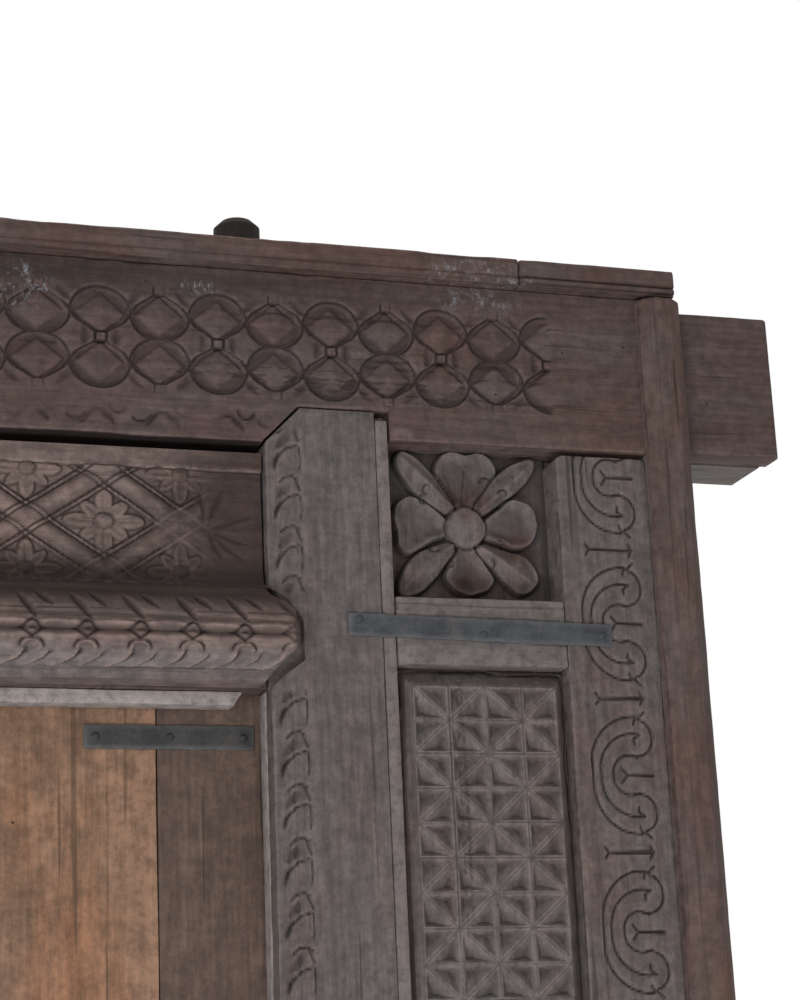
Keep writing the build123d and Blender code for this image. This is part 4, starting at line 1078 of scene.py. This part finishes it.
def attribute_node(tree, name):
    """Value of a mesh attribute."""
    node = tree.nodes.new("ShaderNodeAttribute")
    node.attribute_name = name
    return node.outputs["Fac"]


def stretched(tree, coordinates, scale, place=(0, 0, 0)):
    """Object coordinates moved and scaled."""
    node = tree.nodes.new("ShaderNodeMapping")
    node.inputs["Location"].default_value = place
    node.inputs["Scale"].default_value = scale
    tree.links.new(coordinates, node.inputs["Vector"])
    return node.outputs["Vector"]


def background_rays(tree):
    """1 on the rays that show a background: those of the camera, and those off metal and through glass."""
    path = tree.nodes.new("ShaderNodeLightPath").outputs
    onward = math_node(tree, "MAXIMUM", path["Is Glossy Ray"], path["Is Transmission Ray"])
    return math_node(tree, "MAXIMUM", path["Is Camera Ray"], onward)


def near_node(tree, coordinates, centre, size):
    """Factor that falls from 1 at a place to 0 at the size of a spot round it."""
    length = tree.nodes.new("ShaderNodeVectorMath")
    length.operation = "LENGTH"
    place = tuple(-c / s for c, s in zip(centre, size))
    tree.links.new(stretched(tree, coordinates, tuple(1 / s for s in size), place), length.inputs[0])
    return range_node(tree, length.outputs["Value"], 1.0, 0.3)


def bump_node(tree, shader, height, strength, distance):
    """Fine relief of a surface from a height."""
    bump = tree.nodes.new("ShaderNodeBump")
    bump.inputs["Strength"].default_value = strength
    bump.inputs["Distance"].default_value = distance
    tree.links.new(height, bump.inputs["Height"])
    tree.links.new(bump.outputs["Normal"], shader.inputs["Normal"])


GLOSS = 0.74
DUST = (0.30, 0.30, 0.33)
WORMHOLE = (0.012, 0.009, 0.008)
RUST = (0.085, 0.058, 0.045)
RUBBED_IRON = (0.17, 0.17, 0.18)


def aged_wood(name, base, red, grey, axis, stains_and_painted_light, residue):
    """Old hardwood with its grain along one axis, dirt and painted shade in the cuts, and worn arrises
    with painted highlights.

    From the ground up: patches of three tones, stains and spots of painted shade and painted light,
    streaks along the grain, drying checks, pale worn wood with painted highlights, dirt with painted
    shade, dust and wormholes.
    """
    material = bpy.data.materials.new(name)
    tree, shader = link_nodes(material)
    coordinates = tree.nodes.new("ShaderNodeTexCoord").outputs["Object"]
    seed = 0.9 + axis * 2

    def drawn_out(share, *place):
        scale = tuple(share if i == axis else 1.0 for i in range(3))
        return stretched(tree, coordinates, scale, place)

    streak = noise_node(tree, drawn_out(0.08, seed, seed * 0.7, seed * 1.3), 150, 7, 0.65)
    broad = noise_node(tree, drawn_out(0.4, seed, 1, 2), 14, 6, 0.65)
    patch = noise_node(tree, drawn_out(0.4, seed, 3, 5), 7, 5, 0.6)
    mottle = noise_node(tree, coordinates, 60, 6, 0.75)
    colour = mix_node(tree, range_node(tree, broad, 0.38, 0.62), base, grey)
    colour = mix_node(tree, range_node(tree, patch, 0.5, 0.68, 0, 0.8), colour, red)
    # Spots of stain, and spots of painted shade and painted light
    for centre, size, tint in stains_and_painted_light:
        colour = mix_node(tree, near_node(tree, coordinates, centre, size), colour, tint)
    tone = times(tree, range_node(tree, streak, 0.3, 0.72, 0.76, 1.2),
                 range_node(tree, mottle, 0.3, 0.72, 0.68, 1.36))
    shade = tree.nodes.new("ShaderNodeCombineColor")
    for socket in shade.inputs:
        tree.links.new(tone, socket)
    colour = mix_node(tree, 1.0, colour, shade.outputs["Color"], "MULTIPLY")
    checks = range_node(tree, noise_node(tree, drawn_out(0.02, seed + 4, seed, seed), 90, 3, 0.5), 0.64, 0.68)
    colour = mix_node(tree, times(tree, checks, 0.6), colour, toned(base, 0.25))
    # Paler on worn arrises and ridges: worn wood, and painted highlights where light catches the ridges
    wear = times(tree, attribute_node(tree, "wear"), range_node(tree, mottle, 0.35, 0.6, 0.25, 1.0))
    pale = tuple(0.95 * b + 0.95 * g + 0.01 for b, g in zip(base, grey))
    colour = mix_node(tree, times(tree, wear, 0.75), colour, pale)
    # Darker on the dirt mark and along cut lines: dirt, and painted shade in the cuts, hollows and recesses
    lines = times(tree, attribute_node(tree, "line"), range_node(tree, mottle, 0.3, 0.7, 0.93, 1.05))
    dirt_and_shade = math_node(tree, "MAXIMUM", attribute_node(tree, "grime"), range_node(tree, lines, 0.66, 0.78))
    colour = mix_node(tree, times(tree, dirt_and_shade, 0.85), colour, toned(base, 0.14))
    for centre, size, amount in residue:
        flecks = noise_node(tree, stretched(tree, coordinates, (1, 1, 0.6)), 130, 7, 0.8)
        dust = times(tree, near_node(tree, coordinates, centre, size), range_node(tree, flecks, 0.5, 0.66))
        colour = mix_node(tree, times(tree, dust, amount), colour, DUST)
    cells = tree.nodes.new("ShaderNodeTexVoronoi")
    cells.inputs["Scale"].default_value = 24
    tree.links.new(coordinates, cells.inputs["Vector"])
    holes = times(tree, range_node(tree, cells.outputs["Distance"], 0.045, 0.03),
                  range_node(tree, broad, 0.5, 0.56))
    colour = mix_node(tree, times(tree, holes, 0.9), colour, WORMHOLE)
    tree.links.new(colour, shader.inputs["Base Color"])
    tree.links.new(range_node(tree, mottle, 0.3, 0.7, GLOSS - 0.1, GLOSS + 0.12), shader.inputs["Roughness"])
    shader.inputs["Specular IOR Level"].default_value = 0.25
    height = math_node(tree, "ADD", streak, times(tree, mottle, 0.5))
    height = math_node(tree, "SUBTRACT", height, times(tree, checks, 0.8))
    bump_node(tree, shader, height, 0.55, 0.0012)
    return material


def forged_iron(name, colour):
    """Old hammered strap iron, blue-grey and dull."""
    material = bpy.data.materials.new(name)
    tree, shader = link_nodes(material)
    coordinates = tree.nodes.new("ShaderNodeTexCoord").outputs["Object"]
    blotch = noise_node(tree, coordinates, 28, 6, 0.7)
    pits = noise_node(tree, coordinates, 220, 4, 0.7)
    rust = range_node(tree, noise_node(tree, coordinates, 14, 5), 0.56, 0.72)
    tint = mix_node(tree, range_node(tree, blotch, 0.35, 0.68), toned(colour, 0.62), toned(colour, 1.35))
    tint = mix_node(tree, times(tree, rust, 0.6), tint, RUST)
    tint = mix_node(tree, times(tree, attribute_node(tree, "wear"), 0.35), tint, RUBBED_IRON)
    tree.links.new(tint, shader.inputs["Base Color"])
    shader.inputs["Metallic"].default_value = 0.25
    tree.links.new(range_node(tree, pits, 0.3, 0.7, 0.5, 0.8), shader.inputs["Roughness"])
    bump_node(tree, shader, math_node(tree, "ADD", blotch, times(tree, pits, 0.4)), 0.5, 0.001)
    return material


# Darker or paler spots of each kind of wood, each as (centre, size, colour) with lengths in metres: stains,
# and spots of painted shade and painted light
RED_BROWN = (0.046, 0.030, 0.026)
# Painted shade on the tops of the hinge stiles and their pintles
PINTLE_TOP_SHADE = (0.022, 0.017, 0.013)
# Darker colour on a narrow upright strip at the inner sides of the jambs
DARK_JAMB_SIDE = (0.070, 0.060, 0.056)
STAINS_AND_PAINTED_LIGHT = {
    "upright": (((0.865, -0.03, 2.105), (0.045, 0.1, 0.035), (0.088, 0.056, 0.047)),
                ((0.925, -0.03, 2.05), (0.040, 0.1, 0.030), (0.080, 0.050, 0.043)),
                ((0.865, -0.03, 2.00), (0.040, 0.1, 0.030), (0.078, 0.050, 0.043)),
                ((0.608, 0.02, 1.5), (0.012, 0.3, 4), DARK_JAMB_SIDE),
                ((-0.608, 0.02, 1.5), (0.012, 0.3, 4), DARK_JAMB_SIDE)),
    # Painted shade along the top of the lintel beam, under the cornice
    "lintel": (((-0.3, -0.066, 2.345), (1.5, 0.1, 0.045), (0.034, 0.023, 0.020)),),
    # Painted shade on the roll's upper half, and a painted highlight on its lower half
    "carved": (((0, -0.075, 1.985), (2, 0.07, 0.055), (0.030, 0.020, 0.017)),
               ((0, -0.10, 1.885), (2, 0.07, 0.035), (0.138, 0.118, 0.115)),
               ((0.6, -0.05, 2.07), (0.17, 0.1, 0.15), RED_BROWN),
               ((-0.6, -0.05, 2.07), (0.17, 0.1, 0.15), RED_BROWN)),
    "leaf_stile": (((0.61, 0.028, 2.46), (0.2, 0.2, 0.1), PINTLE_TOP_SHADE),
                   ((-0.61, 0.028, 2.46), (0.2, 0.2, 0.1), PINTLE_TOP_SHADE)),
}
# Flecks of pale dust, each as (centre, size, amount)
RESIDUE = {
    "cornice": (((0.88, -0.086, 2.368), (0.10, 0.05, 0.04), 0.6),),
    "lintel": (((0.88, -0.066, 2.345), (0.07, 0.04, 0.03), 0.5),
               ((0.335, -0.066, 2.325), (0.05, 0.04, 0.035), 0.9),
               ((0.54, -0.066, 2.337), (0.035, 0.04, 0.012), 0.9)),
}


def wood(kind, axis):
    """Material of a kind of wood with its grain along an axis, made once."""
    name = f"{kind}_{'xyz'[axis]}"
    if name in bpy.data.materials:
        return bpy.data.materials[name]
    colours = bpy.context.scene.door_colours
    base = tuple(getattr(colours, kind))
    red, grey = tuple(colours.red_patches), tuple(colours.grey_patches)
    dull = tuple(0.55 * b + 0.38 * g for b, g in zip(base, grey))
    patches = {
        "upright": (tuple(0.5 * (a + b) for a, b in zip(base, red)), grey),
        "lintel": (toned(red, 0.85), dull),
        "carved": (red, dull),
        "cornice": (red, dull),
        "batten": (red, dull),
        "pale": (toned(base, 0.8), toned(base, 1.2)),
        "leaf": (toned(base, 1.15, 0.95, 0.8), toned(base, 0.75)),
        "leaf_stile": (toned(base, 0.85), toned(base, 1.2)),
        "hidden": (red, grey),
    }
    return aged_wood(name, base, *patches[kind], axis, STAINS_AND_PAINTED_LIGHT.get(kind, ()), RESIDUE.get(kind, ()))


def dress(node, material):
    """Give a CAD node its procedural material."""
    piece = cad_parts[node]
    piece.data.materials.clear()
    piece.data.materials.append(material)


# Settings that a user would change
class DoorCarving(bpy.types.PropertyGroup):
    line_width: bpy.props.FloatProperty(
        name="Line width", description="Width of the incised lines of the circle band, in mm",
        default=4.0, min=1)
    line_depth: bpy.props.FloatProperty(
        name="Line depth", description="Depth of the incised lines of the circle band, in mm",
        default=3.0, min=0.5)
    diamond_rise: bpy.props.FloatProperty(
        name="Diamond rise", description="Height of the diamonds in the circles, in mm", default=4.2, min=0)
    fine_step: bpy.props.FloatProperty(
        name="Fine step", description="Spacing of the mesh on the lintel beam's carving, in mm",
        default=2.25, min=1.5)


class DoorColours(bpy.types.PropertyGroup):
    upright: bpy.props.FloatVectorProperty(
        name="Uprights", description="Grey-brown of the jambs and stiles", subtype="COLOR",
        default=(0.1108, 0.0899, 0.0857), min=0, max=1)
    lintel: bpy.props.FloatVectorProperty(
        name="Lintel", description="Dark brown of the lintel beam", subtype="COLOR",
        default=(0.080, 0.051, 0.046), min=0, max=1)
    carved: bpy.props.FloatVectorProperty(
        name="Inner lintel", description="Brown of the lattice frieze and the roll", subtype="COLOR",
        default=(0.1584, 0.1106, 0.0957), min=0, max=1)
    cornice: bpy.props.FloatVectorProperty(
        name="Cornice", description="Weathered brown of the cornice", subtype="COLOR",
        default=(0.086, 0.050, 0.041), min=0, max=1)
    batten: bpy.props.FloatVectorProperty(
        name="Battens", description="Brown of the proud outer battens", subtype="COLOR",
        default=(0.090, 0.056, 0.047), min=0, max=1)
    pale: bpy.props.FloatVectorProperty(
        name="Laths", description="Pale grey of the weathered laths", subtype="COLOR",
        default=(0.1891, 0.1684, 0.1586), min=0, max=1)
    leaf: bpy.props.FloatVectorProperty(
        name="Leaf boards", description="Orange-brown of the leaves' boards", subtype="COLOR",
        default=(0.2318, 0.1366, 0.0891), min=0, max=1)
    leaf_stile: bpy.props.FloatVectorProperty(
        name="Leaf stiles", description="Dull brown of the leaves' hinge stiles and ledges", subtype="COLOR",
        default=(0.092, 0.062, 0.049), min=0, max=1)
    hidden: bpy.props.FloatVectorProperty(
        name="Back timbers", description="Plain brown of the timbers behind", subtype="COLOR",
        default=(0.090, 0.072, 0.062), min=0, max=1)
    red_patches: bpy.props.FloatVectorProperty(
        name="Reddish patches", description="Red-brown where old finish is left", subtype="COLOR",
        default=(0.108, 0.062, 0.048), min=0, max=1)
    grey_patches: bpy.props.FloatVectorProperty(
        name="Grey patches", description="Grey where the wood has weathered", subtype="COLOR",
        default=(0.104, 0.092, 0.090), min=0, max=1)
    iron: bpy.props.FloatVectorProperty(
        name="Iron", description="Blue-grey of the straps", subtype="COLOR",
        default=(0.045, 0.048, 0.054), min=0, max=1)


class DoorStage(bpy.types.PropertyGroup):
    lens: bpy.props.FloatProperty(
        name="Focal length", description="Focal length of the camera, in mm", default=80.5, min=20,
        unit="CAMERA")
    sky: bpy.props.FloatProperty(
        name="Sky strength", description="Strength of the even light from all sides", default=0.34, min=0)
    low_light: bpy.props.FloatProperty(
        name="Low light", description="Power of the soft light from the floor in front, in W",
        default=76, min=0, unit="POWER")
    front_light: bpy.props.FloatProperty(
        name="Front light", description="Power of the soft light from the front left, in W",
        default=150, min=0, unit="POWER")


# Operators, one for each piece or group of like pieces
class DOOR_OT_lintel(bpy.types.Operator):
    """Carve the lintel beam with its band of interlaced circles"""
    bl_idname = "door.lintel"
    bl_label = "Lintel beam"

    def execute(self, context):
        step = context.scene.door_carving.fine_step
        notch_in, notch_out = JAMB_IN - NOTCH_GAP, JAMB_OUT + NOTCH_GAP
        half = rows(0, (notch_in, step), (notch_in + 0.1, 1), (notch_out, step), (notch_out + 0.1, 1),
                    (BAND_END + 6, step), (BATTEN_OUT, 9), (BATTEN_OUT + 0.1, 1),
                    (HORN_END - 9, 12), (HORN_END, 2))
        us = np.concatenate([-half[::-1], half[1:]])
        top = LINTEL_TOP - LINTEL_LIP
        vs = rows(0, (8, 1.6), (STRIP_TOP - LINTEL_LIP, 2.6), (178, 1.85), (top - 6, 4), (top, 2)) / top
        add_relief("carved_lintel", wood("lintel", 0), "lintel_beam", us, vs, lintel_shape, LAYER_BACK)
        return {"FINISHED"}


class DOOR_OT_cornice(bpy.types.Operator):
    """Shape both lengths of the cornice board, the long one worn and the end piece crisp"""
    bl_idname = "door.cornice"
    bl_label = "Cornice"

    def execute(self, context):
        whole = CORNICE_RUN[-1]
        face = rows(CORNICE_ARRIS - 12, (CORNICE_ARRIS - 2, 3), (CORNICE_FOOT + 2, 1.6))
        vs = np.concatenate([[0], face, [whole]]) / whole
        joint = high("cornice_board").x
        for node, start, end, amount in (
                ("cornice_board", low("cornice_board").x, joint - 1, 0.9),
                ("cornice_end_piece", joint + 1, high("cornice_end_piece").x, 0.1)):
            us = rows(start, (start + 4, 1), (end - 4, 6), (end, 1))
            add_relief("worn_" + node, wood("cornice", 0), node, us, vs[::-1],
                       cornice_shape(start, end, amount), CORNICE_BACK)
        return {"FINISHED"}


class DOOR_OT_frieze(bpy.types.Operator):
    """Carve the inner lintel with its lattice and flowers"""
    bl_idname = "door.frieze"
    bl_label = "Inner lintel"

    def execute(self, context):
        us = spaced(-JAMB_IN + 3, JAMB_IN - 3, 2.1)
        vs = rows(FRIEZE_Z, (ROLL_TOP - 1, 22), (ROLL_TOP + 5, 1), (FRIEZE_TOP - 19, 2.0), (FRIEZE_TOP, 3))
        add_relief("carved_inner_lintel", wood("carved", 0), "inner_lintel", us, vs, frieze_shape, LAYER_BACK)
        return {"FINISHED"}


class DOOR_OT_roll(bpy.types.Operator):
    """Carve the roll with its beads, gouges and leaves"""
    bl_idname = "door.roll"
    bl_label = "Roll"

    def execute(self, context):
        us = spaced(-1, 1, 1.9 / ROLL_END)
        face = spaced(ROLL_RUN[1], FOOT_RUN + 1, 1.75)
        vs = np.concatenate([[0, ROLL_RUN[1] - 1], face, ROLL_RUN[FOOT + 1:]])
        add_relief("carved_roll", wood("carved", 0), "roll_moulding", us, vs[::-1], roll_shape, FRIEZE_DEPTH)
        return {"FINISHED"}


class DOOR_OT_jambs(bpy.types.Operator):
    """Carve both jambs with the vine and add their laths and the head strip"""
    bl_idname = "door.jambs"
    bl_label = "Jambs"

    def execute(self, context):
        shares = rows(0, (VINE_STRIP / (FILLET_X - JAMB_IN), 0.0145), (0.97, 0.075), (1, 0.015))
        zs = spaced(SILL_TOP, JAMB_TOP, 2.8)
        for name, side in SIDES:
            node = "jamb_" + name
            bm = bmesh.new()
            relief(bm, both_ways(shares, side), zs, mirrored(jamb_shape, side), LAYER_BACK)
            side_timber(bm, side, (JAMB_IN + 1, JAMB_OUT), (15, LAYER_BACK - 1),
                        (FRIEZE_Z - 30, ROLL_TOP + 30), bevel=0.5, wobble=0.1, step=200)
            side_timber(bm, side, (REAR_JAMB_X, JAMB_OUT), (LAYER_BACK - 1, FRAME_BACK), (SILL_TOP, REAR_Z))
            side_timber(bm, side, (FILLET_X - 2, JAMB_OUT), (18, LAYER_BACK), (SILL_TOP, JAMB_TOP),
                        bevel=1, wobble=0.2)
            add_piece("carved_" + node, bm, wood("upright", 2), node)
            for part, kind, slot in (("jamb_fillet_", "upright", "carved_wood"),
                                     ("stop_lath_", "pale", "weathered_wood")):
                add_hewn("worn_" + part + name, wood(kind, 2), part + name, slot=slot,
                         bevel=1.6, wobble=0.5, step=40, seed=side)
        bm = bmesh.new()
        lows, highs = corners("head_strip")
        hewn(bm, lows, highs, step=22)
        for vert in bm.verts:
            share = (vert.co.z / MM - lows[2]) / (highs[2] - lows[2])
            cut = (highs[0] - 12 * (1 - share)) * MM
            vert.co.x = min(vert.co.x, cut - 0.002 * noise.noise(vert.co * 300))
        add_piece("worn_head_strip", bm, wood("pale", 0), "head_strip", slot="weathered_wood")
        return {"FINISHED"}


class DOOR_OT_stiles(bpy.types.Operator):
    """Carve the scroll of both edge stiles and shape the battens over their outer edge"""
    bl_idname = "door.stiles"
    bl_label = "Edge stiles and battens"

    def execute(self, context):
        stile_zs = rows(SILL_TOP, (STILE_TOP - 10, 2.6), (STILE_TOP, 1.2))
        batten_zs = rows(SILL_TOP, (BATTEN_TOP - 330, 14), (BATTEN_TOP - 30, 4), (BATTEN_TOP, 2))
        for name, side in SIDES:
            add_relief("carved_stile_" + name, wood("upright", 2), "edge_stile_" + name,
                       spaced(0, 1, 0.0205), stile_zs, stile_shape, LAYER_BACK, side)
            add_relief("worn_batten_" + name, wood("batten", 2), "edge_batten_" + name,
                       spaced(-1, 1, 0.09), batten_zs, batten_shape, 0, side)
        return {"FINISHED"}


class DOOR_OT_panels(bpy.types.Operator):
    """Carve the star panels and field the plain panels under them"""
    bl_idname = "door.panels"
    bl_label = "Panels"

    def execute(self, context):
        half = (BAY_OUT - JAMB_OUT) / 2
        for kind, step, rim in (("star_panel", 1.8, 1.8), ("middle_panel", 8, 4), ("lower_panel", 8, 4)):
            xs = rows(-half, (MARGIN_X - half, rim), (half - MARGIN_X, step), (half, rim)) + BAY_X
            for name, side in SIDES:
                node = f"{kind}_{name}"
                z_low, z_high = low(node).z, high(node).z
                zs = rows(z_low, (z_low + MARGIN_Z, 4), (z_high - MARGIN_Z, step), (z_high, rim))
                shape = fielded_panel(z_low, z_high, kind == "star_panel")
                add_relief("dressed_" + node, wood("upright", 2), node, xs, zs, shape, PANEL_BACK,
                           side, sharp=30)
        return {"FINISHED"}


class DOOR_OT_rosettes(bpy.types.Operator):
    """Carve the eight-petalled rosettes under the lintel"""
    bl_idname = "door.rosettes"
    bl_label = "Rosettes"

    def execute(self, context):
        xs, zs = spaced(JAMB_OUT, BAY_OUT, 1.45), spaced(ROSETTE_Z, LINTEL_Z, 1.45)
        for name, side in SIDES:
            add_relief("carved_rosette_" + name, wood("upright", 2), "rosette_panel_" + name, xs, zs,
                       rosette_shape, ROSETTE_BACK, side)
        return {"FINISHED"}


class DOOR_OT_plain_timbers(bpy.types.Operator):
    """Hew the rails and the outer posts, and give the sill and the rear lintel an aged finish"""
    bl_idname = "door.plain_timbers"
    bl_label = "Plain timbers"

    def execute(self, context):
        for name, side in SIDES:
            for kind in ("bottom_rail", "lower_rail", "middle_rail", "upper_rail"):
                node = f"{kind}_{name}"
                bottom, top = low(node).z, high(node).z
                bm = bmesh.new()
                side_timber(bm, side, (JAMB_OUT + SEAM, BAY_OUT - SEAM), (0, LAYER_BACK), (bottom, top),
                            bevel=2.4, wobble=0.9, step=24, seed=side + bottom)
                add_piece("hewn_" + node, bm, wood("upright", 0), node)
            node = "outer_post_" + name
            bm = bmesh.new()
            side_timber(bm, side, (STILE_OUT, BATTEN_OUT), (0, LAYER_BACK), (SILL_TOP, LINTEL_Z), seed=side)
            side_timber(bm, side, (BAY_OUT, BATTEN_OUT), (LAYER_BACK, FRAME_BACK), (SILL_TOP, REAR_Z),
                        seed=side)
            add_piece("hewn_" + node, bm, wood("hidden", 2), node)
        for node in ("sill_beam", "rear_lintel"):
            dress(node, wood("hidden", 0))
        return {"FINISHED"}


class DOOR_OT_leaves(bpy.types.Operator):
    """Board both leaves and give their ledges and hinge stiles an aged finish"""
    bl_idname = "door.leaves"
    bl_label = "Leaves"

    def execute(self, context):
        for name, side in SIDES:
            for kind in ("meeting_board", "hinge_board"):
                node = f"{kind}_{name}"
                bm = bmesh.new()
                hewn(bm, *corners(node, SEAM), step=50, seed=side + low(node).x)
                (x_low, front, z_low), (x_high, back, z_high) = corners(node, 0, 4)
                middle = (front + back) / 2
                hewn(bm, (x_low, middle - TONGUE, z_low), (x_high, middle + TONGUE, z_high),
                     bevel=0.2, wobble=0, step=400)
                add_piece("aged_" + node, bm, wood("leaf", 2), node, name + "_leaf", "leaf_wood")
            for kind in ("lower", "middle", "upper"):
                dress(f"{kind}_ledge_{name}", wood("leaf_stile", 0))
            dress("hinge_stile_" + name, wood("leaf_stile", 2))
        return {"FINISHED"}


class DOOR_OT_ironwork(bpy.types.Operator):
    """Hammer the straps of the frame and the leaves, and finish their nails"""
    bl_idname = "door.ironwork"
    bl_label = "Ironwork"

    def execute(self, context):
        iron = forged_iron("forged_iron", tuple(context.scene.door_colours.iron))
        brown_iron = forged_iron("brown_iron", toned(context.scene.door_colours.iron, 0.78, 0.70, 0.62))
        for name, side in SIDES:
            node = "frame_strap_" + name
            rise = math.sin(math.radians(STRAP_TILT)) * (high(node).x - low(node).x) / 2
            lows, highs = corners(node, 0.3, rise)
            bm = bmesh.new()
            hewn(bm, lows, (highs[0], STRAP_BACK, highs[2]), seed=side, tilt=side * STRAP_TILT, **FORGED)
            add_piece("forged_" + node, bm, iron, node, slot="iron")
            for node in ("upper_leaf_strap_" + name, "lower_leaf_strap_" + name):
                add_hewn("forged_" + node, brown_iron, node, name + "_leaf", "iron",
                         seed=low(node).z, **FORGED)
            dress("leaf_strap_nails_" + name, brown_iron)
        dress("frame_strap_nails", iron)
        return {"FINISHED"}


class DOOR_OT_stage(bpy.types.Operator):
    """Set the floor, the light and the camera of the photograph"""
    bl_idname = "door.stage"
    bl_label = "Stage"

    def execute(self, context):
        settings = context.scene.door_stage
        bm = bmesh.new()
        bmesh.ops.create_grid(bm, x_segments=1, y_segments=1, size=8)
        pale = bpy.data.materials.new("pale_floor")
        tree, shader = link_nodes(pale)
        shader.inputs["Base Color"].default_value = FLOOR_GREY
        shader.inputs["Roughness"].default_value = 0.9
        shader.inputs["Emission Color"].default_value = WHITE
        tree.links.new(times(tree, background_rays(tree), 0.3), shader.inputs["Emission Strength"])
        floor = finish_mesh("floor", bm, pale)

        world = bpy.data.worlds.new("studio")
        context.scene.world = world
        world.use_nodes = True
        tree = world.node_tree
        tree.nodes.clear()
        mix = tree.nodes.new("ShaderNodeMixShader")
        tree.links.new(background_rays(tree), mix.inputs["Fac"])
        for index, colour, strength in ((1, WARM_WHITE, settings.sky), (2, WHITE, 1)):
            node = tree.nodes.new("ShaderNodeBackground")
            node.inputs["Color"].default_value = colour
            node.inputs["Strength"].default_value = strength
            tree.links.new(node.outputs[0], mix.inputs[index])
        tree.links.new(mix.outputs[0], tree.nodes.new("ShaderNodeOutputWorld").inputs["Surface"])

        for name, place, aim, size, power in (
                ("low_front", (-0.2, -2.0, 0.02), (-0.2, -2.0, 1), (3.2, 1.1), settings.low_light),
                ("left_front", (-3.2, -6.0, 1.7), (0.3, 0, 1.5), (2.2, 2.2), settings.front_light),
                ("rear_fill", (3.0, 6.2, 2.2), (0, 0, 1.3), (2.4, 2.4), settings.front_light * 1.5)):
            light = bpy.data.lights.new(name, "AREA")
            light.shape = "RECTANGLE"
            light.size, light.size_y = size
            light.energy = power
            lamp = bpy.data.objects.new(name, light)
            lamp.location = place
            lamp.rotation_euler = (Vector(aim) - Vector(place)).to_track_quat("-Z", "Y").to_euler()
            lamp.visible_camera = False
            context.collection.objects.link(lamp)

        camera = bpy.data.objects.new("camera", bpy.data.cameras.new("camera"))
        camera.data.sensor_width = 36
        camera.data.lens = settings.lens
        right, up = Vector(CAMERA_RIGHT), Vector(CAMERA_UP)
        forward = right.cross(up).normalized() * -1
        placed = Matrix((right, up, -forward)).transposed().to_4x4()
        placed.translation = Vector((0, FACE_Y - CAMERA_BEFORE, CAMERA_HEIGHT)) * MM
        camera.matrix_world = placed
        context.collection.objects.link(camera)
        context.scene.camera = camera
        context.scene.view_settings.view_transform = "Standard"
        return {"FINISHED"}


STEPS = (DOOR_OT_lintel, DOOR_OT_cornice, DOOR_OT_frieze, DOOR_OT_roll, DOOR_OT_jambs,
         DOOR_OT_stiles, DOOR_OT_panels, DOOR_OT_rosettes, DOOR_OT_plain_timbers, DOOR_OT_leaves,
         DOOR_OT_ironwork, DOOR_OT_stage)
SETTINGS = {"door_carving": DoorCarving, "door_colours": DoorColours, "door_stage": DoorStage}


class DOOR_PT_panel(bpy.types.Panel):
    """Settings of the door, and buttons that build its pieces one after another"""
    bl_idname = "DOOR_PT_panel"
    bl_label = "Temple door"
    bl_space_type = "VIEW_3D"
    bl_region_type = "UI"
    bl_category = "Temple door"

    def draw(self, context):
        layout = self.layout
        for name in SETTINGS:
            box = layout.box()
            group = getattr(context.scene, name)
            for setting in group.__annotations__:
                box.prop(group, setting)
        for operator in STEPS:
            layout.operator(operator.bl_idname)


def register():
    for item in (*SETTINGS.values(), *STEPS, DOOR_PT_panel):
        bpy.utils.register_class(item)
    for name, group in SETTINGS.items():
        setattr(bpy.types.Scene, name, bpy.props.PointerProperty(type=group))


def unregister():
    for name in SETTINGS:
        delattr(bpy.types.Scene, name)
    for item in reversed((*SETTINGS.values(), *STEPS, DOOR_PT_panel)):
        bpy.utils.unregister_class(item)


def main():
    register()
    for step in STEPS:
        group, name = step.bl_idname.split(".")
        getattr(getattr(bpy.ops, group), name)()


if __name__ == "__main__":
    main()
